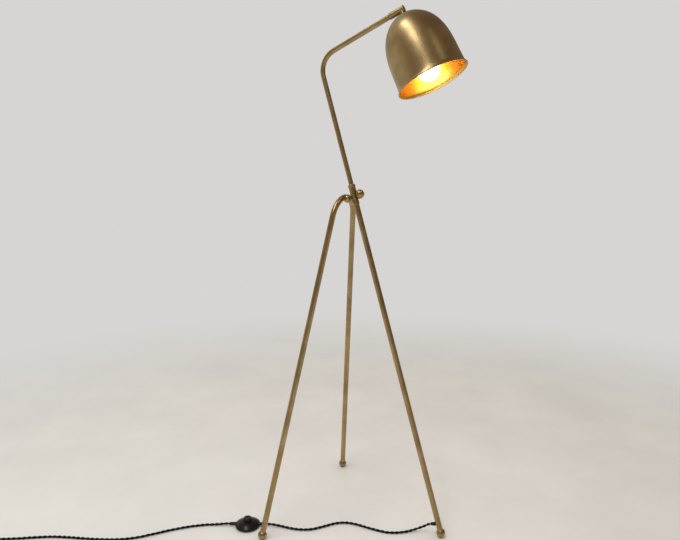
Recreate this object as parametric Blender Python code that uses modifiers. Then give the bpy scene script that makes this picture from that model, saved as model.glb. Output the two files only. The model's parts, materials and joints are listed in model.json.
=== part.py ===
"""Tripod floor lamp: three ball feet, a telescoping stem with a bent arm, a bell shade and a foot switch.

Metres, +Z up. The lamp is symmetric about the plane X = 0 and shines towards -Y.
The origin is on the floor, under the middle of the lamp's own box.
"""

import math

import bmesh
import bpy
from mathutils import Matrix, Vector

MM = 0.001
GAP = 0.3 * MM  # between pieces that touch
RUN = 0.3 * MM  # radial clearance of pieces that turn or slide in each other
CUT = 2.0 * MM  # how far a cutter runs past what it cuts
CUTTER_START = math.radians(7)  # keeps a cutter's edges off the edges of what it cuts

# Stand
LEG_LEAN = math.radians(16.4)  # front leg and stem, backwards from the vertical
FOOT_TO_JOINT = 0.8801  # along the front leg, from the ball's centre to the joint
FEET_APART = 0.4384  # between the two rear balls
FEET_DEPTH = 0.3959  # from the rear balls to the front ball
STEM_RADIUS = 6.1 * MM
LEG_WALL = 0.8 * MM
LEG_RADIUS = STEM_RADIUS + RUN + LEG_WALL  # the stem slides in the front leg
CROWN_RADIUS = 56.8 * MM  # bend of the hairpin's crown

# Feet
BALL_RADIUS = 11.3 * MM
PAD_RADIUS = 5.5 * MM
PAD_HEIGHT = 1.6 * MM
SOCKET_DEPTH = 4.5 * MM  # of the leg's end in the ball
STUD_RADIUS = 3.0 * MM
STUD_BELOW = 3.0 * MM  # past the ball's centre
INSERT_LENGTH = 10.0 * MM

# Joint
SLEEVE_WALL = 1.1 * MM
SLEEVE_BELOW = 7.7 * MM  # from the joint down to the sleeve's lower face
SLEEVE_ABOVE = 31.5 * MM
SLEEVE_BEAD = 0.8 * MM
SLEEVE_BEAD_HEIGHT = 7.0 * MM
SLEEVE_LIP = 3.0 * MM
LEG_INTO_SLEEVE = 3.0 * MM
FERRULE_WALL = 0.9 * MM
FERRULE_HEIGHT = 12.5 * MM
CROWN_SETBACK = 24.9 * MM  # from the stem's axis to the crown's centre line
CROWN_HEIGHT = 6.5 * MM  # above the joint
HUB_SETBACK = 20.1 * MM
HUB_HEIGHT = 1.2 * MM  # above the joint
HUB_RADIUS = 10.8 * MM
HUB_PIN_RADIUS = 2.4 * MM
HUB_PIN_SHORT = 5.0 * MM  # of the hub's centre
KNOB_HEIGHT = 3.0 * MM  # of the knob's axis above the joint
KNOB_RADIUS = 11.8 * MM
KNOB_REACH = 16.0 * MM  # from the stem's axis to the ball's centre
KNOB_FLAT = 4.5 * MM  # from the ball's centre to its flat back
KNOB_NECK_RADIUS = 3.8 * MM
LOCK_SCREW_RADIUS = 2.2 * MM

# Stem and arm
STEM_WALL = 0.8 * MM
STEM_BEND = 50.0 * MM
CORNER_HEIGHT = 0.3557  # along the stem, from the joint to where it would meet the arm
ARM_RISE = math.radians(22.6)
ARM_LENGTH = 0.2388  # from that corner to the shade's axis
STEM_INSERT = 0.15  # below the joint, at rest
STEM_DOWN = 0.22  # how far the stem slides down from rest
STEM_SIDES = 20

# Shade head
SHADE_TILT = math.radians(26.3)
SHADE_DROP = 0.1826  # from the arm's axis to the rim
SHADE_RADIUS = 86.0 * MM  # at the rim
SHADE_WALL = 1.0 * MM
COLLAR_WALL = 1.2 * MM
COLLAR_BACK = 33.0 * MM
COLLAR_FRONT = 5.8 * MM
BOSS_RADIUS = 6.6 * MM
BOSS_FACE = 10.0 * MM  # from the arm's axis
ARM_SHORT = 8.0 * MM  # from the shade's axis back to the arm's open end
CAP_RADIUS = 8.3 * MM
CAP_THICK = 1.4 * MM
GRUB_RADIUS = 2.0 * MM
GRUB_BACK = 22.0 * MM
NIPPLE_RADIUS = 5.0 * MM
NIPPLE_BORE = 3.6 * MM
WASHER_RADIUS = 9.0 * MM
WASHER_THICK = 1.5 * MM
NUT_RADIUS = 8.0 * MM
NUT_HEIGHT = 4.0 * MM
HOLDER_RADIUS = 17.0 * MM
HOLDER_WALL = 1.6 * MM
HOLDER_CAP_HEIGHT = 19.0 * MM
HOLDER_SHELL_HEIGHT = 45.0 * MM
HOLDER_GRIP = 6.0 * MM  # length of the nipple held in the cap
CORE_NECK = 10.0 * MM
BULB_RADIUS = 27.5 * MM
BULB_CENTRE = 0.1535  # from the arm's axis
BULB_WALL = 1.0 * MM
BULB_SHOULDER = 38  # degrees above the bulb's middle, where its neck begins
SCREW_CAP_RADIUS = 13.1 * MM
SCREW_CAP_HEIGHT = 26.0 * MM

# Cord, coil and plug
CORD_RADIUS = 3.3 * MM
LEAD_RADIUS = 2.1 * MM
EXIT_HEIGHT = 23.7 * MM  # along the front leg, from the ball's centre
RELIEF_LENGTH = 20.0 * MM
RELIEF_ROOT = 4.1 * MM
RELIEF_TIP = 3.6 * MM
GROMMET_REACH = 20.8 * MM  # from the leg's axis to its tip
GROMMET_FLANGE = 4.7 * MM
COIL_TURN = 11 * CORD_RADIUS  # radius at the middle of the turns
COIL_WIDE = 3  # turns side by side
COIL_HIGH = 2
COIL_LIFT = 1.4 * MM  # the tie runs under the coil
TIE_WALL = 0.8 * MM
TIE_WIDTH = 9.0 * MM
TIE_SLACK = 0.5 * MM
TIE_PLACE = math.radians(150)  # round the coil from where the cord runs on
TAIL_BEND = 28.05 * MM
TAIL_BACK = 12.0 * MM  # from the coil's middle to the middle of the tail's bend
PLUG_THICK = 13.7 * MM
PLUG_WIDE = 27.0 * MM
PLUG_LONG = 34.0 * MM
PLUG_EDGE = 4.0 * MM
PLUG_RELIEF_RADIUS = 5.7 * MM  # where it meets the plug
PIN_RADIUS = 2.0 * MM
PIN_LENGTH = 19.0 * MM
PINS_APART = 18.6 * MM
PIN_TIP = 1.2 * MM

# Foot switch
SWITCH_RADIUS = 32.0 * MM
SWITCH_DOME = 16.5 * MM  # height of the cover where the button comes through
SWITCH_SLOPE = 1.8  # above 1 the cover is fuller at its edge
SWITCH_SPLIT = 7.0 * MM  # where the cover meets the base
SWITCH_WALL = 2.0 * MM
SWITCH_PAD = 1.2 * MM
BUTTON_RADIUS = 10.6 * MM
BUTTON_TOP = 25.0 * MM
BUTTON_FLANGE = 12.6 * MM
FLANGE_THICK = 1.4 * MM
CELL_LONG = 24.0 * MM
CELL_WIDE = 20.0 * MM
CELL_TOP = 8.0 * MM
SPRING_RADIUS = 5.0 * MM
SPRING_WIRE = 0.5 * MM
SPRING_TURNS = 3
INLET_HEIGHT = 6.6 * MM
SCREW_SPACING = 21.0 * MM
BASE_SCREW_RADIUS = 1.5 * MM

# Places on the floor, from the middle of the tripod
SWITCH_PLACE = Vector((-0.1902, 0.1989, 0))
SWITCH_TURN = math.radians(116.6)
COIL_PLACE = Vector((-0.5983, 0.7587, 0))
COIL_START = math.radians(23.4)  # where the cord runs on to the coil
# The cord's centre line on the floor, from the grommet to the switch and from the switch to the coil
LAMP_ROUTE = (
    (0.0000, -0.2363, 0.0278),
    (-0.0004, -0.2290, 0.0243),
    (-0.0010, -0.2208, 0.0183),
    (-0.0035, -0.2108, 0.0124),
    (-0.0080, -0.2008, 0.0078),
    (-0.0165, -0.1895, 0.0046),
    (-0.0270, -0.1776, 0.0034),
    (-0.0369, -0.1651, 0.0034),
    (-0.0445, -0.1525, 0.0034),
    (-0.0501, -0.1390, 0.0034),
    (-0.0535, -0.1170, 0.0034),
    (-0.0547, -0.0850, 0.0034),
    (-0.0550, -0.0520, 0.0034),
    (-0.0610, -0.0240, 0.0034),
    (-0.0770, -0.0010, 0.0034),
    (-0.1030, 0.0190, 0.0034),
    (-0.1270, 0.0390, 0.0034),
    (-0.1420, 0.0620, 0.0034),
    (-0.1500, 0.0890, 0.0034),
    (-0.1540, 0.1180, 0.0036),
    (-0.1600, 0.1385, 0.0054),
    (-0.1643, 0.1470, 0.0064),
    (-0.1686, 0.1556, 0.0066),
)
COIL_ROUTE = (
    (-0.2118, 0.2422, 0.0066),
    (-0.2161, 0.2508, 0.0062),
    (-0.2235, 0.2660, 0.0045),
    (-0.2320, 0.2820, 0.0035),
    (-0.2420, 0.2980, 0.0034),
    (-0.2680, 0.3290, 0.0034),
    (-0.3000, 0.3590, 0.0034),
    (-0.3350, 0.3870, 0.0034),
    (-0.3650, 0.4120, 0.0034),
    (-0.3890, 0.4400, 0.0034),
    (-0.4080, 0.4730, 0.0034),
    (-0.4270, 0.5150, 0.0034),
    (-0.4440, 0.5600, 0.0034),
    (-0.4630, 0.6030, 0.0034),
    (-0.4860, 0.6410, 0.0034),
    (-0.5100, 0.6760, 0.0034),
    (-0.5300, 0.7090, 0.0034),
    (-0.5402, 0.7325, 0.0036),
    (-0.5493, 0.7534, 0.0044),
)


def clear_scene():
    for obj in list(bpy.data.objects):
        bpy.data.objects.remove(obj, do_unlink=True)


def collection(name):
    made = bpy.data.collections.new(name)
    bpy.context.scene.collection.children.link(made)
    return made


def material(name, colour, metallic, roughness):
    made = bpy.data.materials.new(name)
    made.use_nodes = True
    shader = made.node_tree.nodes["Principled BSDF"]
    shader.inputs["Base Color"].default_value = (*colour, 1)
    shader.inputs["Metallic"].default_value = metallic
    shader.inputs["Roughness"].default_value = roughness
    made.diffuse_color = (*colour, 1)
    return made


def frame(name, place, turn=(0, 0, 0), parent=None):
    """An empty that pieces are placed in: its place and its turn about X, Y and Z."""
    made = bpy.data.objects.new(name, None)
    made.empty_display_size = 0.02
    made.location = place
    made.rotation_euler = turn
    made.parent = parent
    LAMP.objects.link(made)
    return made


def add_object(name, data, parent, finish=None):
    """A piece of the lamp, or a cutter where it has no finish."""
    made = bpy.data.objects.new(name, data)
    made.parent = parent
    if finish:
        data.materials.append(finish)
        LAMP.objects.link(made)
    else:
        made.hide_render = True
        made.display_type = "WIRE"
        CUTTERS.objects.link(made)
    return made


def mesh_of(name, build):
    """A mesh filled by build(bm)."""
    bm = bmesh.new()
    build(bm)
    mesh = bpy.data.meshes.new(name)
    bm.to_mesh(mesh)
    bm.free()
    return mesh


def smooth(obj, sharp=35):
    obj.data.shade_smooth()
    obj.data.set_sharp_from_angle(angle=math.radians(sharp))


def turned(name, profile, parent, finish=None, steps=24, ring=False):
    """A solid turned about local Z: (radius, height) points down its outer side, or a ring's loop."""
    start = 0 if finish else CUTTER_START

    def build(bm):
        points = [bm.verts.new((r * math.cos(start), r * math.sin(start), height)) for r, height in profile]
        for first, second in zip(points, points[1:] + points[:1] if ring else points[1:]):
            bm.edges.new((first, second))

    made = add_object(name, mesh_of(name, build), parent, finish)
    screw = made.modifiers.new("Turn", "SCREW")
    screw.axis = "Z"
    screw.angle = 2 * math.pi
    screw.steps = steps
    screw.render_steps = steps
    screw.use_merge_vertices = True
    screw.merge_threshold = 1e-6
    screw.use_smooth_shade = True
    return made


def cylinder(name, radius, low, high, parent, finish=None, steps=24):
    return turned(name, ((0, high), (radius, high), (radius, low), (0, low)), parent, finish, steps)


def pipe(name, radius, bore, low, high, parent, finish=None, steps=24):
    profile = ((radius, high), (radius, low), (bore, low), (bore, high))
    return turned(name, profile, parent, finish, steps, ring=True)


def arc(centre, radius, start, end, count):
    """Points of an arc in the (radius, height) plane, from start to end in degrees."""
    angles = [math.radians(start + (end - start) * i / (count - 1)) for i in range(count)]
    return [(centre[0] + radius * math.cos(a), centre[1] + radius * math.sin(a)) for a in angles]


def cut(piece, cutter):
    boolean = piece.modifiers.new("Cut " + cutter.name, "BOOLEAN")
    boolean.operation = "DIFFERENCE"
    boolean.object = cutter


def join(piece, other):
    boolean = piece.modifiers.new("Join " + other.name, "BOOLEAN")
    boolean.operation = "UNION"
    boolean.object = other


def curve(name, points, radius, parent, finish, bevel, caps=True):
    data = bpy.data.curves.new(name, "CURVE")
    data.dimensions = "3D"
    data.bevel_depth = radius
    data.bevel_resolution = bevel
    data.use_fill_caps = caps
    spline = data.splines.new("POLY")
    spline.points.add(len(points) - 1)
    for point, place in zip(spline.points, points):
        point.co = (*place, 1)
    spline.use_smooth = True
    return add_object(name, data, parent, finish)


def as_mesh(obj):
    """The same piece as a mesh with its caps welded, so that modifiers can work on it."""
    bpy.context.view_layer.update()
    graph = bpy.context.evaluated_depsgraph_get()
    mesh = bpy.data.meshes.new_from_object(obj.evaluated_get(graph))
    bm = bmesh.new()
    bm.from_mesh(mesh)
    bmesh.ops.remove_doubles(bm, verts=bm.verts, dist=1e-6)
    bm.to_mesh(mesh)
    bm.free()
    made = bpy.data.objects.new("mesh", mesh)
    made.parent = obj.parent
    made.hide_render = obj.hide_render
    made.display_type = obj.display_type
    for holder in obj.users_collection:
        holder.objects.link(made)
    name, data = obj.name, obj.data
    bpy.data.objects.remove(obj)
    bpy.data.curves.remove(data)
    made.name = name
    return made


def hollow_tube(name, points, radius, wall, parent, finish, bevel):
    """A bent tube with open ends: its outer surface, given a wall inwards."""
    made = as_mesh(curve(name, points, radius, parent, finish, bevel, caps=False))
    shell = made.modifiers.new("Wall", "SOLIDIFY")
    shell.thickness = wall
    shell.offset = -1
    shell.use_even_offset = True
    shell.use_rim = True
    return made


def spaced(points, step):
    """Points a step apart along a smooth curve through the route's own points."""
    route = [Vector(p) for p in points]
    route = [2 * route[0] - route[1], *route, 2 * route[-1] - route[-2]]
    fine = []
    for a, b, c, d in zip(route, route[1:], route[2:], route[3:]):
        for i in range(12):
            t = i / 12
            square = (2 * a - 5 * b + 4 * c - d) * t**2
            cube = (3 * b - a - 3 * c + d) * t**3
            fine.append(0.5 * (2 * b + (c - a) * t + square + cube))
    fine.append(route[-2])
    total = sum((q - p).length for p, q in zip(fine, fine[1:]))
    count = max(2, round(total / step))
    found, gone, wanted = [fine[0]], 0.0, total / count
    for p, q in zip(fine, fine[1:]):
        length = (q - p).length
        while gone + length >= wanted and len(found) < count:
            found.append(p.lerp(q, (wanted - gone) / length))
            wanted += total / count
        gone += length
    return found + [fine[-1]]


# Stand


def joint_point(along, forward):
    """A point of the symmetry plane, given along the stem from the joint and forward of its axis."""
    foot = Vector((0, -FEET_DEPTH * 2 / 3, BALL_RADIUS))
    up = Vector((0, math.sin(LEG_LEAN), math.cos(LEG_LEAN)))
    ahead = Vector((0, -math.cos(LEG_LEAN), math.sin(LEG_LEAN)))
    return foot + up * (FOOT_TO_JOINT + along) + ahead * forward


def hairpin_points(centre_height):
    """The hairpin's centre line in its plane: X across, Z up from the line between the rear balls."""
    half = FEET_APART / 2
    rise = centre_height - CROWN_RADIUS
    splay = math.atan2(half, rise) - math.asin(CROWN_RADIUS / math.hypot(half, rise))
    count = 15
    bend = []
    for i in range(count):
        angle = splay + (math.pi - 2 * splay) * i / (count - 1)
        bend.append(Vector((CROWN_RADIUS * math.cos(angle), 0, rise + CROWN_RADIUS * math.sin(angle))))
    out = Vector((math.sin(splay), 0, -math.cos(splay)))
    start = Vector((half, 0, 0)) - out * (BALL_RADIUS - SOCKET_DEPTH + GAP)
    end = Vector((-start.x, 0, start.z))
    return [start, *bend, end], splay


def make_foot(name, place, turn):
    """A ball with a flat underside, the pad under it and the insert that holds it in the leg's end."""
    standing = frame(name + "_foot_frame", place, parent=ORIGIN)
    leg = frame(name + "_leg_frame", place, turn, ORIGIN)
    flat = BALL_RADIUS - PAD_HEIGHT - GAP
    lowest = math.degrees(math.asin(-flat / BALL_RADIUS))
    profile = arc((0, 0), BALL_RADIUS, 90, lowest, 11) + [(0, -flat)]
    profile[0] = (0, BALL_RADIUS)
    ball = turned(name + "_foot_ball", profile, standing, BRASS, steps=22)
    seat = BALL_RADIUS - SOCKET_DEPTH
    socket = (
        (0, BALL_RADIUS + CUT),
        (LEG_RADIUS + GAP, BALL_RADIUS + CUT),
        (LEG_RADIUS + GAP, seat),
        (STUD_RADIUS + GAP, seat),
        (STUD_RADIUS + GAP, -STUD_BELOW - GAP),
        (0, -STUD_BELOW - GAP),
    )
    cut(ball, turned(name + "_socket_cutter", socket, leg))
    plug = LEG_RADIUS - LEG_WALL - GAP
    bottom = seat + GAP
    insert = (
        (0, bottom + INSERT_LENGTH),
        (plug, bottom + INSERT_LENGTH),
        (plug, bottom),
        (STUD_RADIUS, bottom),
        (STUD_RADIUS, -STUD_BELOW),
        (0, -STUD_BELOW),
    )
    turned(name + "_foot_insert", insert, leg, STEEL, steps=16)
    pad = ((0, PAD_HEIGHT), (PAD_RADIUS, PAD_HEIGHT), (PAD_RADIUS, 0), (0, 0))
    on_floor = frame(name + "_pad_frame", (place[0], place[1], 0), parent=ORIGIN)
    turned(name + "_foot_pad", pad, on_floor, RUBBER, 16)
    return leg


def make_front_leg(leg):
    bottom = BALL_RADIUS - SOCKET_DEPTH + GAP
    top = FOOT_TO_JOINT - SLEEVE_BELOW + LEG_INTO_SLEEVE
    tube = pipe("front_leg_tube", LEG_RADIUS, LEG_RADIUS - LEG_WALL, bottom, top, leg, BRASS, STEM_SIDES)
    exit_frame = frame("exit_frame", (0, 0, EXIT_HEIGHT), (-math.pi / 2, 0, 0), leg)
    cut(tube, cylinder("exit_cutter", CORD_RADIUS + GAP, 0, LEG_RADIUS + CUT, exit_frame, steps=16))
    inner, face = LEG_RADIUS - LEG_WALL - 1.4 * MM, LEG_RADIUS + 0.2 * MM
    grommet = (
        (RELIEF_TIP + 0.2 * MM, GROMMET_REACH),
        (GROMMET_FLANGE, face + 1.5 * MM),
        (GROMMET_FLANGE, face),
        (CORD_RADIUS, face),
        (CORD_RADIUS, inner),
        (LEAD_RADIUS, inner),
        (LEAD_RADIUS, GROMMET_REACH),
    )
    turned("cord_grommet", grommet, exit_frame, BLACK, steps=16, ring=True)
    top_of_lead = FOOT_TO_JOINT - STEM_INSERT - STEM_DOWN - 20 * MM
    lead = [
        (0, inner - LEAD_RADIUS - 2 * GAP, EXIT_HEIGHT),
        (0, 1 * MM, EXIT_HEIGHT + 7 * MM),
        (0, 0, EXIT_HEIGHT + 16 * MM),
        (0, 0, top_of_lead),
    ]
    curve("leg_lead", lead, LEAD_RADIUS, leg, CLOTH, 2)


def make_joint(stem):
    """The sleeve with its bead, the ferrule below it, the hub ball behind and the lock knob in front."""
    bore = LEG_RADIUS + GAP
    outer = bore + SLEEVE_WALL
    bead = outer + SLEEVE_BEAD
    top, bottom = SLEEVE_ABOVE, -SLEEVE_BELOW
    profile = (
        (bead - 0.6 * MM, top),
        (bead, top - 0.8 * MM),
        (bead, top - SLEEVE_BEAD_HEIGHT + 1.5 * MM),
        (outer, top - SLEEVE_BEAD_HEIGHT),
        (outer, bottom),
        (bore, bottom),
        (bore, top - SLEEVE_LIP),
        (STEM_RADIUS + RUN, top - SLEEVE_LIP),
        (STEM_RADIUS + RUN, top),
    )
    sleeve = turned("joint_sleeve", profile, stem, BRASS, STEM_SIDES, ring=True)
    ferrule = bottom - GAP
    pipe("leg_ferrule", bore + FERRULE_WALL, bore, ferrule - FERRULE_HEIGHT, ferrule, stem, BRASS, STEM_SIDES)
    leg_top = -SLEEVE_BELOW + LEG_INTO_SLEEVE
    bush_top = top - SLEEVE_LIP - RUN
    pipe("clamp_bush", LEG_RADIUS, STEM_RADIUS + RUN, leg_top + GAP, bush_top, stem, NYLON, STEM_SIDES)

    ahead = frame("knob_frame", (0, 0, KNOB_HEIGHT), (math.pi / 2, 0, 0), stem)
    tip = LEG_RADIUS + GAP
    lock_hole = LOCK_SCREW_RADIUS + RUN
    cut(sleeve, cylinder("lock_hole_cutter", lock_hole, LEG_RADIUS - CUT, outer + CUT, ahead, steps=16))
    flat = math.degrees(math.asin(-KNOB_FLAT / KNOB_RADIUS))
    head = [(r, z + KNOB_REACH) for r, z in arc((0, 0), KNOB_RADIUS, 90, flat, 11)]
    head[0] = (0, KNOB_REACH + KNOB_RADIUS)
    back = KNOB_REACH - KNOB_FLAT
    neck = outer + 1.0 * MM
    hole = LOCK_SCREW_RADIUS + GAP
    head += [(KNOB_NECK_RADIUS, back), (KNOB_NECK_RADIUS, neck)]
    head += [(hole, neck), (hole, KNOB_REACH), (0, KNOB_REACH)]
    turned("lock_knob", head, ahead, BRASS, 20)
    cylinder("lock_screw", LOCK_SCREW_RADIUS, tip, KNOB_REACH - GAP, ahead, STEEL, 14)

    hub = frame("hub_frame", (0, HUB_SETBACK, HUB_HEIGHT), parent=stem)
    profile = arc((0, 0), HUB_RADIUS, 90, -90, 14)
    profile[0], profile[-1] = (0, HUB_RADIUS), (0, -HUB_RADIUS)
    ball = turned("hub_ball", profile, hub, BRASS, 20)
    cut(ball, cylinder("hub_sleeve_cutter", outer + GAP, bottom - CUT, top, stem, steps=STEM_SIDES))
    rear = frame("hub_pin_frame", (0, 0, HUB_HEIGHT), (-math.pi / 2, 0, 0), stem)
    pin_end = HUB_SETBACK - HUB_PIN_SHORT
    pin_hole = cylinder("hub_pin_cutter", HUB_PIN_RADIUS + GAP, LEG_RADIUS, pin_end + GAP, rear, steps=12)
    cut(sleeve, pin_hole)
    cut(ball, pin_hole)
    cylinder("hub_pin", HUB_PIN_RADIUS, bore + 0.1 * MM, pin_end, rear, STEEL, 12)
    return ball


def make_hairpin(hub_ball):
    crown = joint_point(CROWN_HEIGHT, -CROWN_SETBACK)
    rear_line = Vector((0, FEET_DEPTH / 3, BALL_RADIUS))
    up = crown - rear_line
    lean = math.atan2(-up.y, up.z)
    points, splay = hairpin_points(up.length)
    plane = frame("hairpin_frame", rear_line, (lean, 0, 0), ORIGIN)
    hollow_tube("hairpin_tube", points, LEG_RADIUS, LEG_WALL, plane, BRASS, 6)
    cutter = as_mesh(curve("crown_cutter", points[1:-1], LEG_RADIUS + GAP, plane, None, 6))
    cut(hub_ball, cutter)
    half = FEET_APART / 2
    for name, side in (("left", -1), ("right", 1)):
        place = Vector((side * half, rear_line.y, BALL_RADIUS))
        turn = Matrix.Rotation(lean, 3, "X") @ Matrix.Rotation(-side * splay, 3, "Y")
        make_foot(name, place, turn.to_euler())


# Stem and shade


def stem_turn():
    return math.pi / 2 + LEG_LEAN - ARM_RISE


def stem_points(low, short):
    """The stem's and the arm's centre line in the joint's frame, from low to short of the shade's axis."""
    turn = stem_turn()
    tangent = STEM_BEND * math.tan(turn / 2)
    count = 9
    centre = Vector((0, -STEM_BEND, CORNER_HEIGHT - tangent))
    bend = []
    for i in range(count):
        angle = turn * i / (count - 1)
        bend.append(centre + Vector((0, STEM_BEND * math.cos(angle), STEM_BEND * math.sin(angle))))
    arm = Vector((0, -math.sin(turn), math.cos(turn)))
    return [Vector((0, 0, low)), *bend, Vector((0, 0, CORNER_HEIGHT)) + arm * (ARM_LENGTH - short)]


def make_stem(stem):
    hollow_tube("stem_tube", stem_points(-STEM_INSERT, ARM_SHORT), STEM_RADIUS, STEM_WALL, stem, BRASS, 6)
    curve("stem_lead", stem_points(-STEM_INSERT + 2 * MM, ARM_SHORT + 3 * MM), LEAD_RADIUS, stem, CLOTH, 2)


def shade_profile():
    """The bell's outer side from its flat top to its lip: (radius, distance below the top)."""
    top = BOSS_FACE + GAP + WASHER_THICK + GAP
    height = SHADE_DROP - top
    crown = [(NIPPLE_RADIUS + GAP, 0), (WASHER_RADIUS + 1.5 * MM, 0)]
    sides = (
        (0.231, 0.020),
        (0.369, 0.055),
        (0.522, 0.110),
        (0.662, 0.185),
        (0.775, 0.280),
        (0.855, 0.390),
        (0.905, 0.510),
        (0.930, 0.640),
        (0.940, 0.770),
        (0.948, 0.880),
        (0.960, 0.950),
        (1.000, 0.990),
    )
    return crown + [(SHADE_RADIUS * r, height * h) for r, h in sides] + [(SHADE_RADIUS, height)], top


def make_shade(tilted):
    profile, top = shade_profile()
    outer = [(r, -top - h) for r, h in profile]
    crown_points = 5  # where the wall is measured downwards; below them, across
    inner = []
    for i, (r, h) in enumerate(profile):
        inner.append((max(r - SHADE_WALL, NIPPLE_RADIUS + GAP), -top - h - SHADE_WALL * (i < crown_points)))
    inner[-1] = (SHADE_RADIUS - SHADE_WALL, -SHADE_DROP)
    turned("shade_bell", outer + inner[::-1], tilted, BRASS, steps=36, ring=True)
    return top + SHADE_WALL


def make_swivel(arm, tilted):
    bore = STEM_RADIUS + RUN
    outer = bore + COLLAR_WALL
    collar = cylinder("swivel_collar", outer, -COLLAR_BACK, COLLAR_FRONT, arm, BRASS, STEM_SIDES)
    nipple_top = -bore - 0.3 * MM
    join(collar, cylinder("boss_form", BOSS_RADIUS, -BOSS_FACE, -2 * MM, tilted, steps=20))
    back, front, nipple_hole = -COLLAR_BACK, COLLAR_FRONT, NIPPLE_RADIUS + GAP
    cut(collar, cylinder("arm_bore_cutter", bore, back - CUT, front + CUT, arm, steps=STEM_SIDES))
    cut(collar, cylinder("nipple_cutter", nipple_hole, -BOSS_FACE - CUT, nipple_top + CUT, tilted, steps=20))
    cut(collar, cylinder("collar_face_cutter", 2 * BOSS_FACE, front, front + 2 * CUT, arm, steps=20))
    above = frame("grub_frame", (0, 0, -GRUB_BACK), (-math.pi / 2, 0, 0), arm)
    cut(collar, cylinder("grub_cutter", GRUB_RADIUS + GAP, STEM_RADIUS - CUT, outer + CUT, above, steps=14))
    cylinder("grub_screw", GRUB_RADIUS, STEM_RADIUS + GAP, outer + 0.6 * MM, above, STEEL, 14)
    face = COLLAR_FRONT + GAP
    cap = (
        (0, face + CAP_THICK + 0.4 * MM),
        (CAP_RADIUS * 0.6, face + CAP_THICK + 0.2 * MM),
        (CAP_RADIUS, face + CAP_THICK * 0.6),
        (CAP_RADIUS, face),
        (STEM_RADIUS, face),
        (STEM_RADIUS, face - 1.2 * MM),
        (0, face - 1.2 * MM),
    )
    turned("end_cap", cap, arm, BRASS, STEM_SIDES)

    washer = -BOSS_FACE - GAP
    pipe("dome_seat", WASHER_RADIUS, NIPPLE_RADIUS + GAP, washer - WASHER_THICK, washer, tilted, BRASS, 24)
    under = -make_shade(tilted) - GAP
    pipe("inner_washer", WASHER_RADIUS, NIPPLE_RADIUS + GAP, under - WASHER_THICK, under, tilted, STEEL, 20)
    nut = under - WASHER_THICK - GAP
    hexagon = cylinder("nipple_nut", NUT_RADIUS, nut - NUT_HEIGHT, nut, tilted, STEEL, 6)
    nut_end = nut - NUT_HEIGHT
    cut(hexagon, cylinder("nut_bore_cutter", nipple_hole, nut_end - CUT, nut + CUT, tilted, steps=20))
    holder = nut_end - GAP
    pipe("shade_nipple", NIPPLE_RADIUS, NIPPLE_BORE, holder - HOLDER_GRIP, nipple_top, tilted, STEEL, 18)
    lead_end = make_holder(tilted, holder)
    lead = [(0, 0, nipple_top - 1 * MM), (0, 0, holder - HOLDER_GRIP), (0, 1 * MM, lead_end)]
    curve("holder_lead", lead, LEAD_RADIUS, tilted, CLOTH, 2)


def make_holder(tilted, top):
    """The lamp holder under the nut, and the bulb in it. Returns where the lead ends on the core."""
    wall, outer = HOLDER_WALL, HOLDER_RADIUS
    neck = NIPPLE_RADIUS + GAP
    cap = (
        (neck + 3 * MM, top),
        (outer - 2 * MM, top - 3.5 * MM),
        (outer, top - 6 * MM),
        (outer, top - HOLDER_CAP_HEIGHT),
        (outer - wall, top - HOLDER_CAP_HEIGHT),
        (outer - wall, top - 6.5 * MM),
        (neck + 2 * MM, top - HOLDER_GRIP),
        (neck, top - HOLDER_GRIP),
        (neck, top),
    )
    turned("holder_cap", cap, tilted, BRASS, 24, ring=True)
    seam = top - HOLDER_CAP_HEIGHT - GAP
    mouth = seam - HOLDER_SHELL_HEIGHT
    shell = (
        (outer, seam),
        (outer, mouth + 1.5 * MM),
        (outer + 1 * MM, mouth),
        (outer - wall, mouth),
        (outer - wall, seam),
    )
    turned("holder_shell", shell, tilted, BRASS, 24, ring=True)
    core_top, core_face = top - 12 * MM, seam - 8 * MM
    core = (
        (0, core_top),
        (CORE_NECK, core_top),
        (CORE_NECK, seam),
        (outer - wall - GAP, seam),
        (outer - wall - GAP, core_face),
        (0, core_face),
    )
    turned("holder_core", core, tilted, CERAMIC, 20)
    contact = core_face - GAP
    spring = ((0, contact), (3.5 * MM, contact), (2 * MM, contact - 2 * MM), (0, contact - 2 * MM))
    turned("centre_contact", spring, tilted, STEEL, 12)
    make_bulb(tilted, contact - 2 * MM - GAP)
    return core_top + LEAD_RADIUS + GAP


def make_bulb(tilted, tip):
    button = 1.5 * MM
    contact = ((0, tip), (3 * MM, tip), (4.5 * MM, tip - button), (0, tip - button))
    turned("bulb_contact", contact, tilted, STEEL, 12)
    top = tip - button - GAP
    radius, wall, low = SCREW_CAP_RADIUS, 1.0 * MM, top - SCREW_CAP_HEIGHT
    cap = (
        (0, top),
        (7 * MM, top),
        (radius, top - 5 * MM),
        (radius, low),
        (radius - wall, low),
        (radius - wall, top - 6 * MM),
        (6 * MM, top - 1.5 * MM),
        (0, top - 1.5 * MM),
    )
    turned("bulb_cap", cap, tilted, STEEL, 20)
    neck, shoulder = radius - wall - GAP, low - 2 * MM
    throat = [(neck, low + 6 * MM), (neck, low), (neck + 1.2 * MM, shoulder)]
    throat.append((neck + 3.4 * MM, shoulder - 8 * MM))
    sides = []
    for less in (0, BULB_WALL):
        globe = arc((0, -BULB_CENTRE), BULB_RADIUS - less, BULB_SHOULDER, -90, 13)
        globe[-1] = (0, -BULB_CENTRE - BULB_RADIUS + less)
        sides.append([(r - less, height) for r, height in throat] + globe)
    turned("bulb_glass", sides[1][::-1] + sides[0], tilted, GLASS, 24)


# Foot switch and cord


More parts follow.
